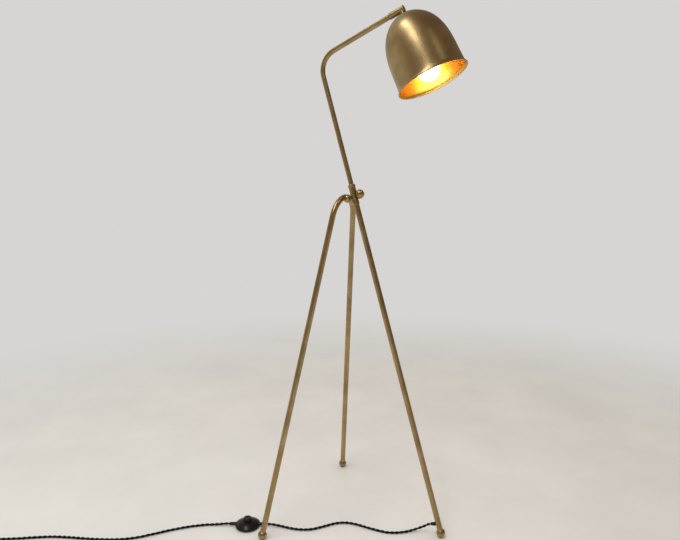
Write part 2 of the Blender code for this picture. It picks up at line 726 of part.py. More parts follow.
def make_switch(place):
    split = SWITCH_SPLIT
    turned(
        "switch_pad",
        ((0, SWITCH_PAD), (SWITCH_RADIUS - 3 * MM, SWITCH_PAD), (SWITCH_RADIUS - 3 * MM, 0), (0, 0)),
        place,
        RUBBER,
        24,
    )
    floor = SWITCH_PAD + GAP
    wall = SWITCH_WALL
    inside = SWITCH_RADIUS - wall
    base = (
        (0, floor + wall),
        (inside, floor + wall),
        (inside, split),
        (SWITCH_RADIUS, split),
        (SWITCH_RADIUS, floor + 1 * MM),
        (SWITCH_RADIUS - 1 * MM, floor),
        (0, floor),
    )
    base = turned("switch_base", base, place, BLACK, 32)
    hole = BUTTON_RADIUS + RUN + 0.2 * MM
    seam, count = split + GAP, 7
    outer = []
    for i in range(count):
        share = i / (count - 1)
        rise = 1 - (1 - share) ** SWITCH_SLOPE
        outer.append((SWITCH_RADIUS - (SWITCH_RADIUS - hole) * share, seam + (SWITCH_DOME - seam) * rise))
    inner = [(max(r - wall, hole), max(z - wall, seam)) for r, z in outer]
    inner[0] = (inside, seam)
    cover = turned("switch_cover", outer[::-1] + inner, place, BLACK, 32, ring=True)
    for name, side in (("switch_inlet_relief", -1), ("switch_outlet_relief", 1)):
        mouth = frame(name + "_frame", (0, 0, INLET_HEIGHT), (0, side * math.pi / 2, 0), place)
        hole = RELIEF_ROOT + GAP
        opening = cylinder(name + "_cutter", hole, inside - 2 * CUT, SWITCH_RADIUS + CUT, mouth, steps=16)
        cut(base, opening)
        cut(cover, opening)
        inner_end = inside - CUT
        relief = (
            (0, inner_end + RELIEF_LENGTH),
            (RELIEF_TIP, inner_end + RELIEF_LENGTH),
            (RELIEF_ROOT, SWITCH_RADIUS + 2 * MM),
            (RELIEF_ROOT, inner_end),
            (0, inner_end),
        )
        turned(name, relief, mouth, BLACK, 16)
    cell_floor = floor + wall + GAP
    cell = bmesh_box("contact_block", (CELL_LONG, CELL_WIDE, CELL_TOP - cell_floor), place, BLACK)
    cell.location.z = (CELL_TOP + cell_floor) / 2
    under = SWITCH_DOME - wall - GAP - 1.2 * MM
    button = (
        (0, BUTTON_TOP),
        (BUTTON_RADIUS * 0.55, BUTTON_TOP - 0.3 * MM),
        (BUTTON_RADIUS * 0.9, BUTTON_TOP - 1.4 * MM),
        (BUTTON_RADIUS, BUTTON_TOP - 2.6 * MM),
        (BUTTON_RADIUS, under),
        (BUTTON_FLANGE, under),
        (BUTTON_FLANGE, under - FLANGE_THICK),
        (BUTTON_FLANGE - 2.5 * MM, under - FLANGE_THICK),
        (BUTTON_FLANGE - 2.5 * MM, under + 2 * MM),
        (0, under + 2 * MM),
    )
    turned("switch_button", button, place, BLACK, 24)
    low, high = CELL_TOP + GAP + SPRING_WIRE, under + 2 * MM - GAP - SPRING_WIRE
    turns = []
    per_turn = 12
    for i in range(SPRING_TURNS * per_turn + 1):
        angle = 2 * math.pi * i / per_turn
        height = low + (high - low) * i / (SPRING_TURNS * per_turn)
        turns.append((SPRING_RADIUS * math.cos(angle), SPRING_RADIUS * math.sin(angle), height))
    curve("button_spring", turns, SPRING_WIRE, place, STEEL, 0)
    for name, side in (("switch_screw_a", -1), ("switch_screw_b", 1)):
        spot = frame(name + "_frame", (0, side * SCREW_SPACING, 0), parent=place)
        hole = BASE_SCREW_RADIUS + GAP
        cut(base, cylinder(name + "_cutter", hole, floor - CUT, floor + wall + CUT, spot, steps=12))
        cylinder(name, BASE_SCREW_RADIUS, floor + GAP, split, spot, STEEL, 12)


def bmesh_box(name, sides, parent, finish):
    def build(bm):
        bmesh.ops.create_cube(bm, size=1)
        bmesh.ops.scale(bm, vec=sides, verts=bm.verts)

    return add_object(name, mesh_of(name, build), parent, finish)


def make_cords():
    step = 5 * CORD_RADIUS
    curve("cord_lamp_to_switch", spaced(LAMP_ROUTE, step), CORD_RADIUS, ORIGIN, CLOTH, 2)
    curve("cord_switch_to_coil", spaced(COIL_ROUTE, step), CORD_RADIUS, ORIGIN, CLOTH, 2)


def make_coil():
    """The coil, the tie round it, the cord's tail and the plug that lies on the coil."""
    place = frame("coil_frame", COIL_PLACE, (0, 0, COIL_START), ORIGIN)
    half, high = COIL_WIDE * CORD_RADIUS, 2 * COIL_HIGH * CORD_RADIUS
    low, top = COIL_LIFT, COIL_LIFT + high
    round_off = 1.5 * MM
    ring = (
        (COIL_TURN + half - round_off, top),
        (COIL_TURN + half, top - round_off),
        (COIL_TURN + half, low + round_off),
        (COIL_TURN + half - round_off, low),
        (COIL_TURN - half + round_off, low),
        (COIL_TURN - half, low + round_off),
        (COIL_TURN - half, top - round_off),
        (COIL_TURN - half + round_off, top),
    )
    turned("cord_coil", ring, place, CLOTH, 30, ring=True)
    tie_place = frame("tie_frame", (0, 0, 0), (0, 0, TIE_PLACE), place)
    loose = half + GAP + TIE_SLACK
    outside = (2 * (loose + TIE_WALL), TIE_WIDTH, high + 2 * (GAP + TIE_WALL))
    inside = (2 * loose, TIE_WIDTH + 2 * CUT, high + 2 * GAP)
    tie = bmesh_box("coil_tie", outside, tie_place, RUBBER)
    hole = bmesh_box("tie_cutter", inside, tie_place, None)
    for piece in (tie, hole):
        piece.location = (COIL_TURN, 0, (low + top) / 2)
    cut(tie, hole)
    make_plug(place, top + GAP)


def make_plug(coil, rest):
    """The plug lies flat on the coil. The tail climbs to it from the top of the coil in one half turn."""
    height = rest + PLUG_THICK / 2
    start_height = rest + CORD_RADIUS
    count = 13
    tail = []
    for i in range(count):
        angle = math.pi * i / (count - 1)
        climb = min(1, i / (count - 3))
        eased = climb * climb * (3 - 2 * climb)
        across = COIL_TURN - TAIL_BEND + TAIL_BEND * math.cos(angle)
        rise = start_height + (height - start_height) * eased
        tail.append((across, TAIL_BACK + TAIL_BEND * math.sin(angle), rise))
    across, tail_end = COIL_TURN - 2 * TAIL_BEND, TAIL_BACK - 4 * MM
    tail.append((across, tail_end, height))
    curve("cord_tail", tail, CORD_RADIUS, coil, CLOTH, 2)
    plug = frame("plug_frame", (across, tail_end - GAP, height), (math.pi / 2, 0, 0), coil)
    relief = ((0, RELIEF_LENGTH), (PLUG_RELIEF_RADIUS, RELIEF_LENGTH), (RELIEF_TIP + 0.2 * MM, 0), (0, 0))
    turned("plug_relief", relief, plug, BLACK, 16)
    body = bmesh_box("plug_body", (PLUG_WIDE, PLUG_THICK, PLUG_LONG), plug, BLACK)
    body.location.z = RELIEF_LENGTH + GAP + PLUG_LONG / 2
    edge = body.modifiers.new("Rounded edges", "BEVEL")
    edge.width = PLUG_EDGE
    edge.segments = 3
    edge.limit_method = "ANGLE"
    for name, side in (("plug_pin_a", -1), ("plug_pin_b", 1)):
        foot = RELIEF_LENGTH + PLUG_LONG + 2 * GAP
        spot = frame(name + "_frame", (side * PINS_APART / 2, 0, foot), parent=plug)
        end = PIN_LENGTH
        pin = ((0, end), (PIN_RADIUS - PIN_TIP, end), (PIN_RADIUS, end - PIN_TIP), (PIN_RADIUS, 0), (0, 0))
        turned(name, pin, spot, STEEL, 12)


clear_scene()
LAMP = collection("tripod_floor_lamp")
CUTTERS = collection("cutters")
BRASS = material("satin antique brass", (0.36, 0.25, 0.12), 1.0, 0.32)
STEEL = material("zinc plated steel", (0.55, 0.55, 0.56), 1.0, 0.35)
BLACK = material("black bakelite", (0.02, 0.017, 0.015), 0.0, 0.35)
RUBBER = material("black rubber", (0.015, 0.015, 0.015), 0.0, 0.8)
NYLON = material("white nylon", (0.75, 0.74, 0.7), 0.0, 0.45)
CERAMIC = material("white ceramic", (0.8, 0.79, 0.76), 0.0, 0.3)
GLASS = material("opal glass", (0.95, 0.9, 0.8), 0.0, 0.15)
CLOTH = material("black braided cord", (0.02, 0.018, 0.018), 0.0, 0.8)

# The lamp's own box is centred on the origin, front to back.
rim_centre = joint_point(CORNER_HEIGHT, 0) + Vector((0, -math.cos(ARM_RISE), math.sin(ARM_RISE))) * ARM_LENGTH
rim_front = rim_centre.y - SHADE_DROP * math.sin(SHADE_TILT) - SHADE_RADIUS * math.cos(SHADE_TILT)
front = min(rim_front, -FEET_DEPTH * 2 / 3 - BALL_RADIUS)
rear = FEET_DEPTH / 3 + BALL_RADIUS
ORIGIN = frame("tripod_middle", (0, -(front + rear) / 2, 0))

front_foot = Vector((0, -FEET_DEPTH * 2 / 3, BALL_RADIUS))
front_leg = make_foot("front", front_foot, (-LEG_LEAN, 0, 0))
joint = frame("joint_frame", joint_point(0, 0), (-LEG_LEAN, 0, 0), ORIGIN)
arm_end = frame("arm_frame", rim_centre, (math.pi / 2 - ARM_RISE, 0, 0), ORIGIN)
shade_head = frame("shade_frame", rim_centre, (-SHADE_TILT, 0, 0), ORIGIN)
switch = frame("switch_frame", SWITCH_PLACE, (0, 0, SWITCH_TURN), ORIGIN)
make_front_leg(front_leg)
make_hairpin(make_joint(joint))
make_stem(joint)
make_swivel(arm_end, shade_head)
make_switch(switch)
make_cords()
make_coil()
for made in LAMP.objects:
    if made.type == "MESH":
        smooth(made)
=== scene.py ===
import json
import math

import bmesh
import bpy
from mathutils import Matrix, Vector

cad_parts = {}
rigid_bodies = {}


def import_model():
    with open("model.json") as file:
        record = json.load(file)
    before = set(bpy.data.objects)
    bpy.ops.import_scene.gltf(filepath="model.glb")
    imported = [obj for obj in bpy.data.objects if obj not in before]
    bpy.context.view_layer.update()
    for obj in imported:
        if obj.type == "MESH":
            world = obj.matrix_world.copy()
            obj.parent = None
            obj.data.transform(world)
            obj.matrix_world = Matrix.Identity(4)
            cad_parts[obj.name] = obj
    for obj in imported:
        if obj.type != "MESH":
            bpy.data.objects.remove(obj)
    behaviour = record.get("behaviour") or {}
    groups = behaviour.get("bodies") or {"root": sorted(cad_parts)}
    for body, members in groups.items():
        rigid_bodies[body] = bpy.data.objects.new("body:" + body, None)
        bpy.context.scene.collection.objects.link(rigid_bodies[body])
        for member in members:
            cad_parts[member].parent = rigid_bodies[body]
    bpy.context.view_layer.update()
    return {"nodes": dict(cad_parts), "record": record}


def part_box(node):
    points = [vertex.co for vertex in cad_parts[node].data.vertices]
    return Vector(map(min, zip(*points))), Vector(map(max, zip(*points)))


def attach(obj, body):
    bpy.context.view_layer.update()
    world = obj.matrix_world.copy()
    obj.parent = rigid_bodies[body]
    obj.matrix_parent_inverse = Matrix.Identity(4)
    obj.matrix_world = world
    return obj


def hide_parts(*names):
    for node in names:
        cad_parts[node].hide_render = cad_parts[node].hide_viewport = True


# Tripod floor lamp in antique brass: finishes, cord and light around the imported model.

for spare in list(bpy.data.objects):
    bpy.data.objects.remove(spare)
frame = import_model()
mm = 0.001


def addNode(tree, kind, settings=None, inputs=None):
    node = tree.nodes.new(kind)
    for key, value in (settings or {}).items():
        setattr(node, key, value)
    for key, value in (inputs or {}).items():
        if isinstance(value, bpy.types.NodeSocket):
            tree.links.new(value, node.inputs[key])
        else:
            node.inputs[key].default_value = value
    return node


def hexColour(text):
    parts = [int(text[i:i + 2], 16) / 255 for i in (1, 3, 5)]
    return [*(p / 12.92 if p <= 0.04045 else ((p + 0.055) / 1.055) ** 2.4 for p in parts), 1]


def startMaterial(name, values):
    made = bpy.data.materials.new(name)
    made.use_nodes = True
    shader = made.node_tree.nodes["Principled BSDF"]
    for key, value in values.items():
        shader.inputs[key].default_value = value
    return made, made.node_tree, shader


def ramp(tree, factor, stops):
    node = addNode(tree, "ShaderNodeValToRGB", inputs={"Fac": factor})
    node.color_ramp.elements[0].position, node.color_ramp.elements[0].color = stops[0]
    node.color_ramp.elements[1].position, node.color_ramp.elements[1].color = stops[-1]
    for place, colour in stops[1:-1]:
        node.color_ramp.elements.new(place).color = colour
    return node.outputs["Color"]


def turnX(degrees):
    return Matrix.Rotation(math.radians(degrees), 4, "X")


def shift(x, y, z):
    return Matrix.Translation((x, y, z))


def finish(obj, body, nodes=()):
    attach(obj, body)
    if nodes:
        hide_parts(*nodes)
    return obj


def newObject(name, mesh, material, sharp=40):
    obj = bpy.data.objects.new(name, mesh)
    bpy.context.scene.collection.objects.link(obj)
    if material:
        mesh.materials.append(material)
    mesh.shade_smooth()
    mesh.set_sharp_from_angle(angle=math.radians(sharp))
    return obj


def softened(profile, size, steps=3):
    # Rounds each corner of a turned profile.
    made = [Vector(profile[0])]
    for before, corner, after in zip(profile, profile[1:], profile[2:]):
        a, b, c = Vector(before), Vector(corner), Vector(after)
        cut = min(size, 0.45 * (a - b).length, 0.45 * (c - b).length)
        if cut < 1e-6:
            made.append(b)
            continue
        start, end = b + (a - b).normalized() * cut, b + (c - b).normalized() * cut
        for i in range(steps + 1):
            t = i / steps
            made.append(start.lerp(b, t).lerp(b.lerp(end, t), t))
    return made + [Vector(profile[-1])]


def smoothThrough(points, per):
    route = [Vector(p) for p in points]
    route = [2 * route[0] - route[1], *route, 2 * route[-1] - route[-2]]
    fine = []
    for a, b, c, d in zip(route, route[1:], route[2:], route[3:]):
        for i in range(per):
            t = i / per
            fine.append(0.5 * (2 * b + (c - a) * t + (2 * a - 5 * b + 4 * c - d) * t * t
                               + (3 * b - a - 3 * c + d) * t ** 3))
    return fine + [route[-2]]


def lathe(name, profile, place, material, sides=64, loop=False, sharp=40):
    # The attribute grain is the point before it is placed, so brush lines follow the turning.
    bm = bmesh.new()
    grain = bm.verts.layers.float_vector.new("grain")
    gone, rings, last = 0.0, [], None
    for r, z in [tuple(p) for p in profile]:
        gone += math.hypot(r - last[0], z - last[1]) if last else 0
        last = (r, z)
        ring = []
        for k in range(sides if r > 1e-7 else 1):
            angle = 2 * math.pi * k / sides
            x, y = r * math.cos(angle), r * math.sin(angle)
            vert = bm.verts.new(place @ Vector((x, y, z)))
            vert[grain] = (x, y, gone)
            ring.append(vert)
        rings.append(ring)
    pairs = list(zip(rings, rings[1:])) + ([(rings[-1], rings[0])] if loop else [])
    for upper, lower in pairs:
        for k in range(sides):
            n = (k + 1) % sides
            corners = [upper[k % len(upper)], lower[k % len(lower)], lower[n % len(lower)],
                       upper[n % len(upper)]]
            corners = [c for i, c in enumerate(corners) if c not in corners[:i]]
            if len(corners) > 2:
                bm.faces.new(corners)
    bmesh.ops.recalc_face_normals(bm, faces=bm.faces)
    mesh = bpy.data.meshes.new(name)
    bm.to_mesh(mesh)
    bm.free()
    return newObject(name, mesh, material, sharp)


def polyline(name, points):
    mesh = bpy.data.meshes.new(name)
    mesh.from_pydata([tuple(p) for p in points], [(i, i + 1) for i in range(len(points) - 1)], [])
    obj = bpy.data.objects.new(name, mesh)
    bpy.context.scene.collection.objects.link(obj)
    return obj


def nodeGroup(name, sizes):
    # A Geometry Nodes tree with named inputs; sizes gives each input's kind and first value.
    tree = bpy.data.node_groups.new(name, "GeometryNodeTree")
    tree.interface.new_socket("Geometry", in_out="INPUT", socket_type="NodeSocketGeometry")
    for label, (kind, value) in sizes.items():
        socket = tree.interface.new_socket(label, in_out="INPUT", socket_type="NodeSocket" + kind)
        if value is not None:
            socket.default_value = value
    tree.interface.new_socket("Geometry", in_out="OUTPUT", socket_type="NodeSocketGeometry")
    return tree, addNode(tree, "NodeGroupInput").outputs


def endGroup(tree, geometry, material):
    real = addNode(tree, "GeometryNodeRealizeInstances", inputs={"Geometry": geometry})
    paint = addNode(tree, "GeometryNodeSetMaterial", inputs={
        "Geometry": real.outputs[0], "Material": material})
    addNode(tree, "NodeGroupOutput", inputs={"Geometry": paint.outputs[0]})


def runGroup(obj, tree, values, sharp=40):
    # Runs the tree once and returns its result as a plain mesh object of the same name.
    modifier = obj.modifiers.new(tree.name, "NODES")
    modifier.node_group = tree
    for item in tree.interface.items_tree:
        if item.in_out == "INPUT" and item.name in values:
            modifier[item.identifier] = values[item.name]
    bpy.context.view_layer.update()
    graph = bpy.context.evaluated_depsgraph_get()
    mesh = bpy.data.meshes.new_from_object(obj.evaluated_get(graph))
    name = obj.name
    bpy.data.objects.remove(obj)
    made = bpy.data.objects.new(name, mesh)
    bpy.context.scene.collection.objects.link(made)
    mesh.shade_smooth()
    mesh.set_sharp_from_angle(angle=math.radians(sharp))
    return made


# Where things are: sizes given here, and the tripod's middle from the imported front foot ball.

lamp = {
    "legLean": 16.4,  # degrees, as are the next two
    "armRise": 22.6,
    "shadeTilt": 26.3,
    "feetApart": 0.4384,
    "feetDepth": 0.3959,
    "footToJoint": 0.8801,
    "cornerHeight": 0.3557,
    "armLength": 0.2388,
    "ballRadius": 11.3 * mm,
    "legRadius": 7.2 * mm,
    "stemRadius": 6.1 * mm,
    "stemBend": 50 * mm,
    "crownRadius": 56.8 * mm,
    "crownSetback": 24.9 * mm,
    "crownHeight": 6.5 * mm,
}
low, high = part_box("front_foot_ball")
middle = Vector((0, (low.y + high.y) / 2 + lamp["feetDepth"] * 2 / 3, 0))
frontFoot = Matrix.Translation(middle) @ shift(0, -lamp["feetDepth"] * 2 / 3, lamp["ballRadius"])
frontLeg = frontFoot @ turnX(-lamp["legLean"])
joint = frontLeg @ shift(0, 0, lamp["footToJoint"])
knobAxis = joint @ shift(0, 0, 3 * mm) @ turnX(90)
armTurn = 90 + lamp["legLean"] - lamp["armRise"]
armEnd = joint @ shift(0, 0, lamp["cornerHeight"]) @ turnX(armTurn) @ shift(0, 0, lamp["armLength"])
shadeHead = Matrix.Translation(armEnd.translation) @ turnX(-lamp["shadeTilt"])
rearLine = Matrix.Translation(middle) @ shift(0, lamp["feetDepth"] / 3, lamp["ballRadius"])
crown = joint @ Vector((0, lamp["crownSetback"], lamp["crownHeight"]))
crownUp = crown - rearLine.translation
crownRise = crownUp.length
hairpin = rearLine @ turnX(math.degrees(math.atan2(-crownUp.y, crownUp.z)))
switch = Matrix.Translation(middle) @ shift(-0.1902, 0.1989, 0) @ Matrix.Rotation(math.radians(116.6), 4, "Z")
coil = Matrix.Translation(middle) @ shift(-0.5983, 0.7587, 0) @ Matrix.Rotation(math.radians(23.4), 4, "Z")


brass = {
    "light": "#B59E72",
    "mid": "#A68C5E",
    "deep": "#93794D",
    "roughLow": 0.31,
    "roughHigh": 0.40,
    "cloudMm": 45,  # size of the patina's clouds
    "brushMm": 0.6,  # brush lines, drawn coarser than the real 0.1 mm so that they show
    "brushLongMm": 60,
    "brushDepth": 0.01,
}


def satinBrass(name, turned, light=None, mid=None, deep=None, rough=None):
    # Antique brass, brushed by hand and lacquered: warm and soft, with faint lines and darker clouds.
    low, high = rough or (brass["roughLow"], brass["roughHigh"])
    made, tree, shader = startMaterial(name, {"Metallic": 1.0, "Coat Weight": 0.3, "Coat Roughness": 0.3})
    grain = addNode(tree, "ShaderNodeAttribute", {"attribute_name": "grain"}).outputs["Vector"]
    place = addNode(tree, "ShaderNodeTexCoord").outputs["Object"]
    fine, long = 1000 / brass["brushMm"], 1000 / brass["brushLongMm"]
    scale = (long, long, fine) if turned else (fine, fine, long)
    lines = addNode(tree, "ShaderNodeVectorMath", {"operation": "MULTIPLY"}, {0: grain, 1: scale})
    brushed = addNode(tree, "ShaderNodeTexNoise", inputs={
        "Vector": lines.outputs[0], "Scale": 1.0, "Detail": 3.0, "Roughness": 0.6})
    clouds = addNode(tree, "ShaderNodeTexNoise", inputs={
        "Vector": place, "Scale": 1000 / brass["cloudMm"], "Detail": 4.0, "Roughness": 0.55})
    specks = addNode(tree, "ShaderNodeTexNoise", inputs={
        "Vector": place, "Scale": 1000 / 2.5, "Detail": 2.0, "Roughness": 0.5})
    patina = ramp(tree, clouds.outputs["Fac"], [
        (0.30, hexColour(deep or brass["deep"])),
        (0.50, hexColour(mid or brass["mid"])),
        (0.72, hexColour(light or brass["light"])),
    ])
    streaks = addNode(tree, "ShaderNodeMapRange", inputs={
        "Value": brushed.outputs["Fac"], "From Min": 0.3, "From Max": 0.7, "To Min": 0.97, "To Max": 1.03})
    spots = addNode(tree, "ShaderNodeMapRange", inputs={
        "Value": specks.outputs["Fac"], "From Min": 0.62, "From Max": 0.75, "To Min": 1.0, "To Max": 0.93})
    shade = addNode(tree, "ShaderNodeMath", {"operation": "MULTIPLY"}, {
        0: streaks.outputs[0], 1: spots.outputs[0]})
    toned = addNode(tree, "ShaderNodeVectorMath", {"operation": "SCALE"},
                    {0: patina, "Scale": shade.outputs[0]})
    tree.links.new(toned.outputs[0], shader.inputs["Base Color"])
    mixed = addNode(tree, "ShaderNodeMath", {"operation": "MULTIPLY_ADD"},
                    {0: brushed.outputs["Fac"], 1: 0.5, 2: 0.0})
    both = addNode(tree, "ShaderNodeMath", {"operation": "MULTIPLY_ADD"},
                   {0: clouds.outputs["Fac"], 1: 0.5, 2: mixed.outputs[0]})
    rough = addNode(tree, "ShaderNodeMapRange", inputs={
        "Value": both.outputs[0], "From Min": 0.35, "From Max": 0.65, "To Min": high, "To Max": low})
    tree.links.new(rough.outputs[0], shader.inputs["Roughness"])
    bump = addNode(tree, "ShaderNodeBump", inputs={
        "Strength": brass["brushDepth"], "Distance": 0.2 * mm, "Height": brushed.outputs["Fac"]})
    tree.links.new(bump.outputs[0], shader.inputs["Normal"])
    return made


def speckled(name, values, colours, roughs, grainMm, bumpDepth, bumpMm=None):
    # A base for the plain finishes: two close colours in fine clouds, and a grain in the surface.
    made, tree, shader = startMaterial(name, values)
    place = addNode(tree, "ShaderNodeTexCoord").outputs["Object"]
    clouds = addNode(tree, "ShaderNodeTexNoise", inputs={
        "Vector": place, "Scale": 1000 / grainMm, "Detail": 4.0, "Roughness": 0.6})
    tree.links.new(ramp(tree, clouds.outputs["Fac"], [
        (0.35, hexColour(colours[0])), (0.65, hexColour(colours[1]))]), shader.inputs["Base Color"])
    rough = addNode(tree, "ShaderNodeMapRange", inputs={
        "Value": clouds.outputs["Fac"], "From Min": 0.3, "From Max": 0.7,
        "To Min": roughs[0], "To Max": roughs[1]})
    tree.links.new(rough.outputs[0], shader.inputs["Roughness"])
    pits = addNode(tree, "ShaderNodeTexNoise", inputs={
        "Vector": place, "Scale": 1000 / (bumpMm or grainMm / 6), "Detail": 2.0})
    bump = addNode(tree, "ShaderNodeBump", inputs={
        "Strength": bumpDepth, "Distance": 0.2 * mm, "Height": pits.outputs["Fac"]})
    tree.links.new(bump.outputs[0], shader.inputs["Normal"])
    return made


turnedBrass = satinBrass("satinAntiqueBrassTurned", True)
drawnBrass = satinBrass("satinAntiqueBrassDrawn", False)
# The bell's inside is polished and lacquered, so it is yellower and glows with the bulb's light.
innerBrass = satinBrass("polishedBrassInside", True, "#F2CE74", "#EDC66A", "#E2B654", (0.26, 0.36))
# Bright zinc on steel screws: pale grey with a faint cloudiness.
zincSteel = speckled(
    "zincPlatedSteel", {"Metallic": 1.0}, ("#8E9091", "#B4B5B3"), (0.28, 0.42), 6, 0.05)
# Moulded phenolic plastic: near black with a soft brown cast, and a fine satin sheen.
blackMoulded = speckled(
    "satinBlackPhenolic", {"IOR": 1.4}, ("#0B0807", "#14100D"), (0.26, 0.36), 5, 0.05, 0.6)
# Natural rubber, black and dull, with a chalky bloom.
blackRubber = speckled(
    "blackRubber", {"IOR": 1.52}, ("#17171A", "#26262A"), (0.70, 0.88), 3, 0.25, 0.5)
# Turned nylon, milky and waxy.
whiteNylon = speckled(
    "whiteNylon", {"IOR": 1.53, "Subsurface Weight": 0.1}, ("#D8D5CB", "#E6E3DA"), (0.4, 0.5), 4, 0.05)
# Glazed steatite of the holder's core.
whiteCeramic = speckled(
    "glazedCeramic", {"IOR": 1.6}, ("#E4E1D8", "#F1EEE6"), (0.15, 0.25), 8, 0.04)

# The braid's two colours are painted light: the first is painted shade in the grooves between threads, the
# second a painted highlight on their crests.
cotton = {"threadMm": 0.9, "depth": 0.7, "paintedGrooveShade": "#040404", "light": "#161414", "turns": 10}


def wovenCotton(name):
    # Black cotton braid over each core: dull, with crossing threads; each thread's crest is painted lighter
    # as a painted highlight and the grooves between them darker as painted shade.
    made, tree, shader = startMaterial(name, {"IOR": 1.3, "Roughness": 0.85})
    along = addNode(tree, "ShaderNodeAttribute", {"attribute_name": "along"}).outputs["Fac"]
    around = addNode(tree, "ShaderNodeAttribute", {"attribute_name": "around"}).outputs["Fac"]
    turns = addNode(tree, "ShaderNodeMath", {"operation": "MULTIPLY"}, {
        0: around, 1: 2 * math.pi * cotton["turns"]})
    waves = []
    for way in (1, -1):
        phase = addNode(tree, "ShaderNodeMath", {"operation": "MULTIPLY_ADD"}, {
            0: along, 1: way * 2 * math.pi / (cotton["threadMm"] * 2 * mm), 2: turns.outputs[0]})
        wave = addNode(tree, "ShaderNodeMath", {"operation": "SINE"}, {0: phase.outputs[0]})
        waves.append(wave.outputs[0])
    weave = addNode(tree, "ShaderNodeMath", {"operation": "MAXIMUM"}, {0: waves[0], 1: waves[1]})
    # Painted shade and highlight: the colour follows the weave, darker in the grooves and lighter on the
    # crests.
    tree.links.new(ramp(tree, weave.outputs[0], [
        (0.0, hexColour(cotton["paintedGrooveShade"])), (1.0, hexColour(cotton["light"]))]), shader.inputs["Base Color"])
    bump = addNode(tree, "ShaderNodeBump", inputs={
        "Strength": cotton["depth"], "Distance": 0.25 * mm, "Height": weave.outputs[0]})
    tree.links.new(bump.outputs[0], shader.inputs["Normal"])
    return made


blackCotton = wovenCotton("wovenBlackCotton")
# The same cotton without its braid, for the leads inside the tubes.
cordPlain = speckled("blackCottonPlain", {"IOR": 1.5}, ("#060606", "#151313"), (0.8, 0.9), 2, 0.3)

bulb = {"glow": "#FFD9A0", "strength": 9.0}


def litOpalGlass(name):
    # Opal glass with a warm lamp in it: evenly white, a little dimmer towards its neck.
    made, tree, shader = startMaterial(name, {
        "Base Color": hexColour("#FFF6E8"), "Roughness": 0.2, "IOR": 1.5,
        "Emission Color": hexColour(bulb["glow"])})
    place = addNode(tree, "ShaderNodeAttribute", {"attribute_name": "grain"}).outputs["Vector"]
    height = addNode(tree, "ShaderNodeSeparateXYZ", inputs={0: place}).outputs["Z"]
    glow = addNode(tree, "ShaderNodeMapRange", inputs={
        "Value": height, "From Min": 10 * mm, "From Max": 45 * mm,
        "To Min": bulb["strength"] * 0.35, "To Max": bulb["strength"]})
    tree.links.new(glow.outputs[0], shader.inputs["Emission Strength"])
    return made


opalGlass = litOpalGlass("litOpalGlass")

nodeFinish = {
    "satin_brass": turnedBrass,
    "zinc_steel": zincSteel,
    "black_plastic": blackMoulded,
    "black_rubber": blackRubber,
    "white_nylon": whiteNylon,
    "white_ceramic": whiteCeramic,
    "opal_glass": opalGlass,
    "cord_fabric": cordPlain,
}
slotOf = {part["node"]: part["material_slot"] for part in frame["record"]["subparts"]}
for name, node in frame["nodes"].items():
    node.data.materials.clear()
    node.data.materials.append(nodeFinish[slotOf[name]])
print("finishes ready")


view = {
    "place": (-1.3744, -0.6999, 0.9084),
    "heading": (0.8843, 0.4669),
    "down": 8.846,
    "lens": 32.05,
    "wall": "#D6D5D3",
    "floorTone": "#E6E2DB",
}
cameraData = bpy.data.cameras.new("camera")
cameraData.lens, cameraData.sensor_width = view["lens"], 36
camera = bpy.data.objects.new("camera", cameraData)
bpy.context.scene.collection.objects.link(camera)
down = math.radians(view["down"])
look = Vector((view["heading"][0] * math.cos(down), view["heading"][1] * math.cos(down), -math.sin(down)))
camera.location = middle + Vector(view["place"])
camera.rotation_euler = look.to_track_quat("-Z", "Y").to_euler()
bpy.context.scene.camera = camera
bpy.context.scene.view_settings.view_transform = "Standard"


def paleFloor(name):
    # Honed pale stone near the lamp, which fades into the wall's tone far from it.
    made, tree, shader = startMaterial(name, {"Roughness": 0.45, "IOR": 1.5})
    place = addNode(tree, "ShaderNodeTexCoord").outputs["Object"]
    clouds = addNode(tree, "ShaderNodeTexNoise", inputs={
        "Vector": place, "Scale": 3.0, "Detail": 6.0, "Roughness": 0.6})
    tone = ramp(tree, clouds.outputs["Fac"], [
        (0.30, hexColour("#DBD7D1")), (0.70, hexColour(view["floorTone"]))])
    tree.links.new(tone, shader.inputs["Base Color"])
    away = addNode(tree, "ShaderNodeVectorMath", {"operation": "LENGTH"}, {0: place})
    fade = addNode(tree, "ShaderNodeMapRange", {"interpolation_type": "SMOOTHSTEP"}, {
        "Value": away.outputs["Value"], "From Min": 0.9, "From Max": 2.6})
    far = addNode(tree, "ShaderNodeEmission", inputs={"Color": hexColour(view["wall"])})
    blend = addNode(tree, "ShaderNodeMixShader", inputs={
        0: fade.outputs[0], 1: shader.outputs[0], 2: far.outputs[0]})
    tree.links.new(blend.outputs[0], tree.nodes["Material Output"].inputs["Surface"])
    return made


bm = bmesh.new()
bmesh.ops.create_circle(bm, cap_ends=True, segments=96, radius=9)
floorMesh = bpy.data.meshes.new("floor")
bm.to_mesh(floorMesh)
bm.free()
floor = newObject("floor", floorMesh, paleFloor("honedPaleStone"))

world = bpy.data.worlds.new("studio")
bpy.context.scene.world = world
world.use_nodes = True
tree = world.node_tree
tree.nodes.clear()
room = addNode(tree, "ShaderNodeTexCoord").outputs["Generated"]
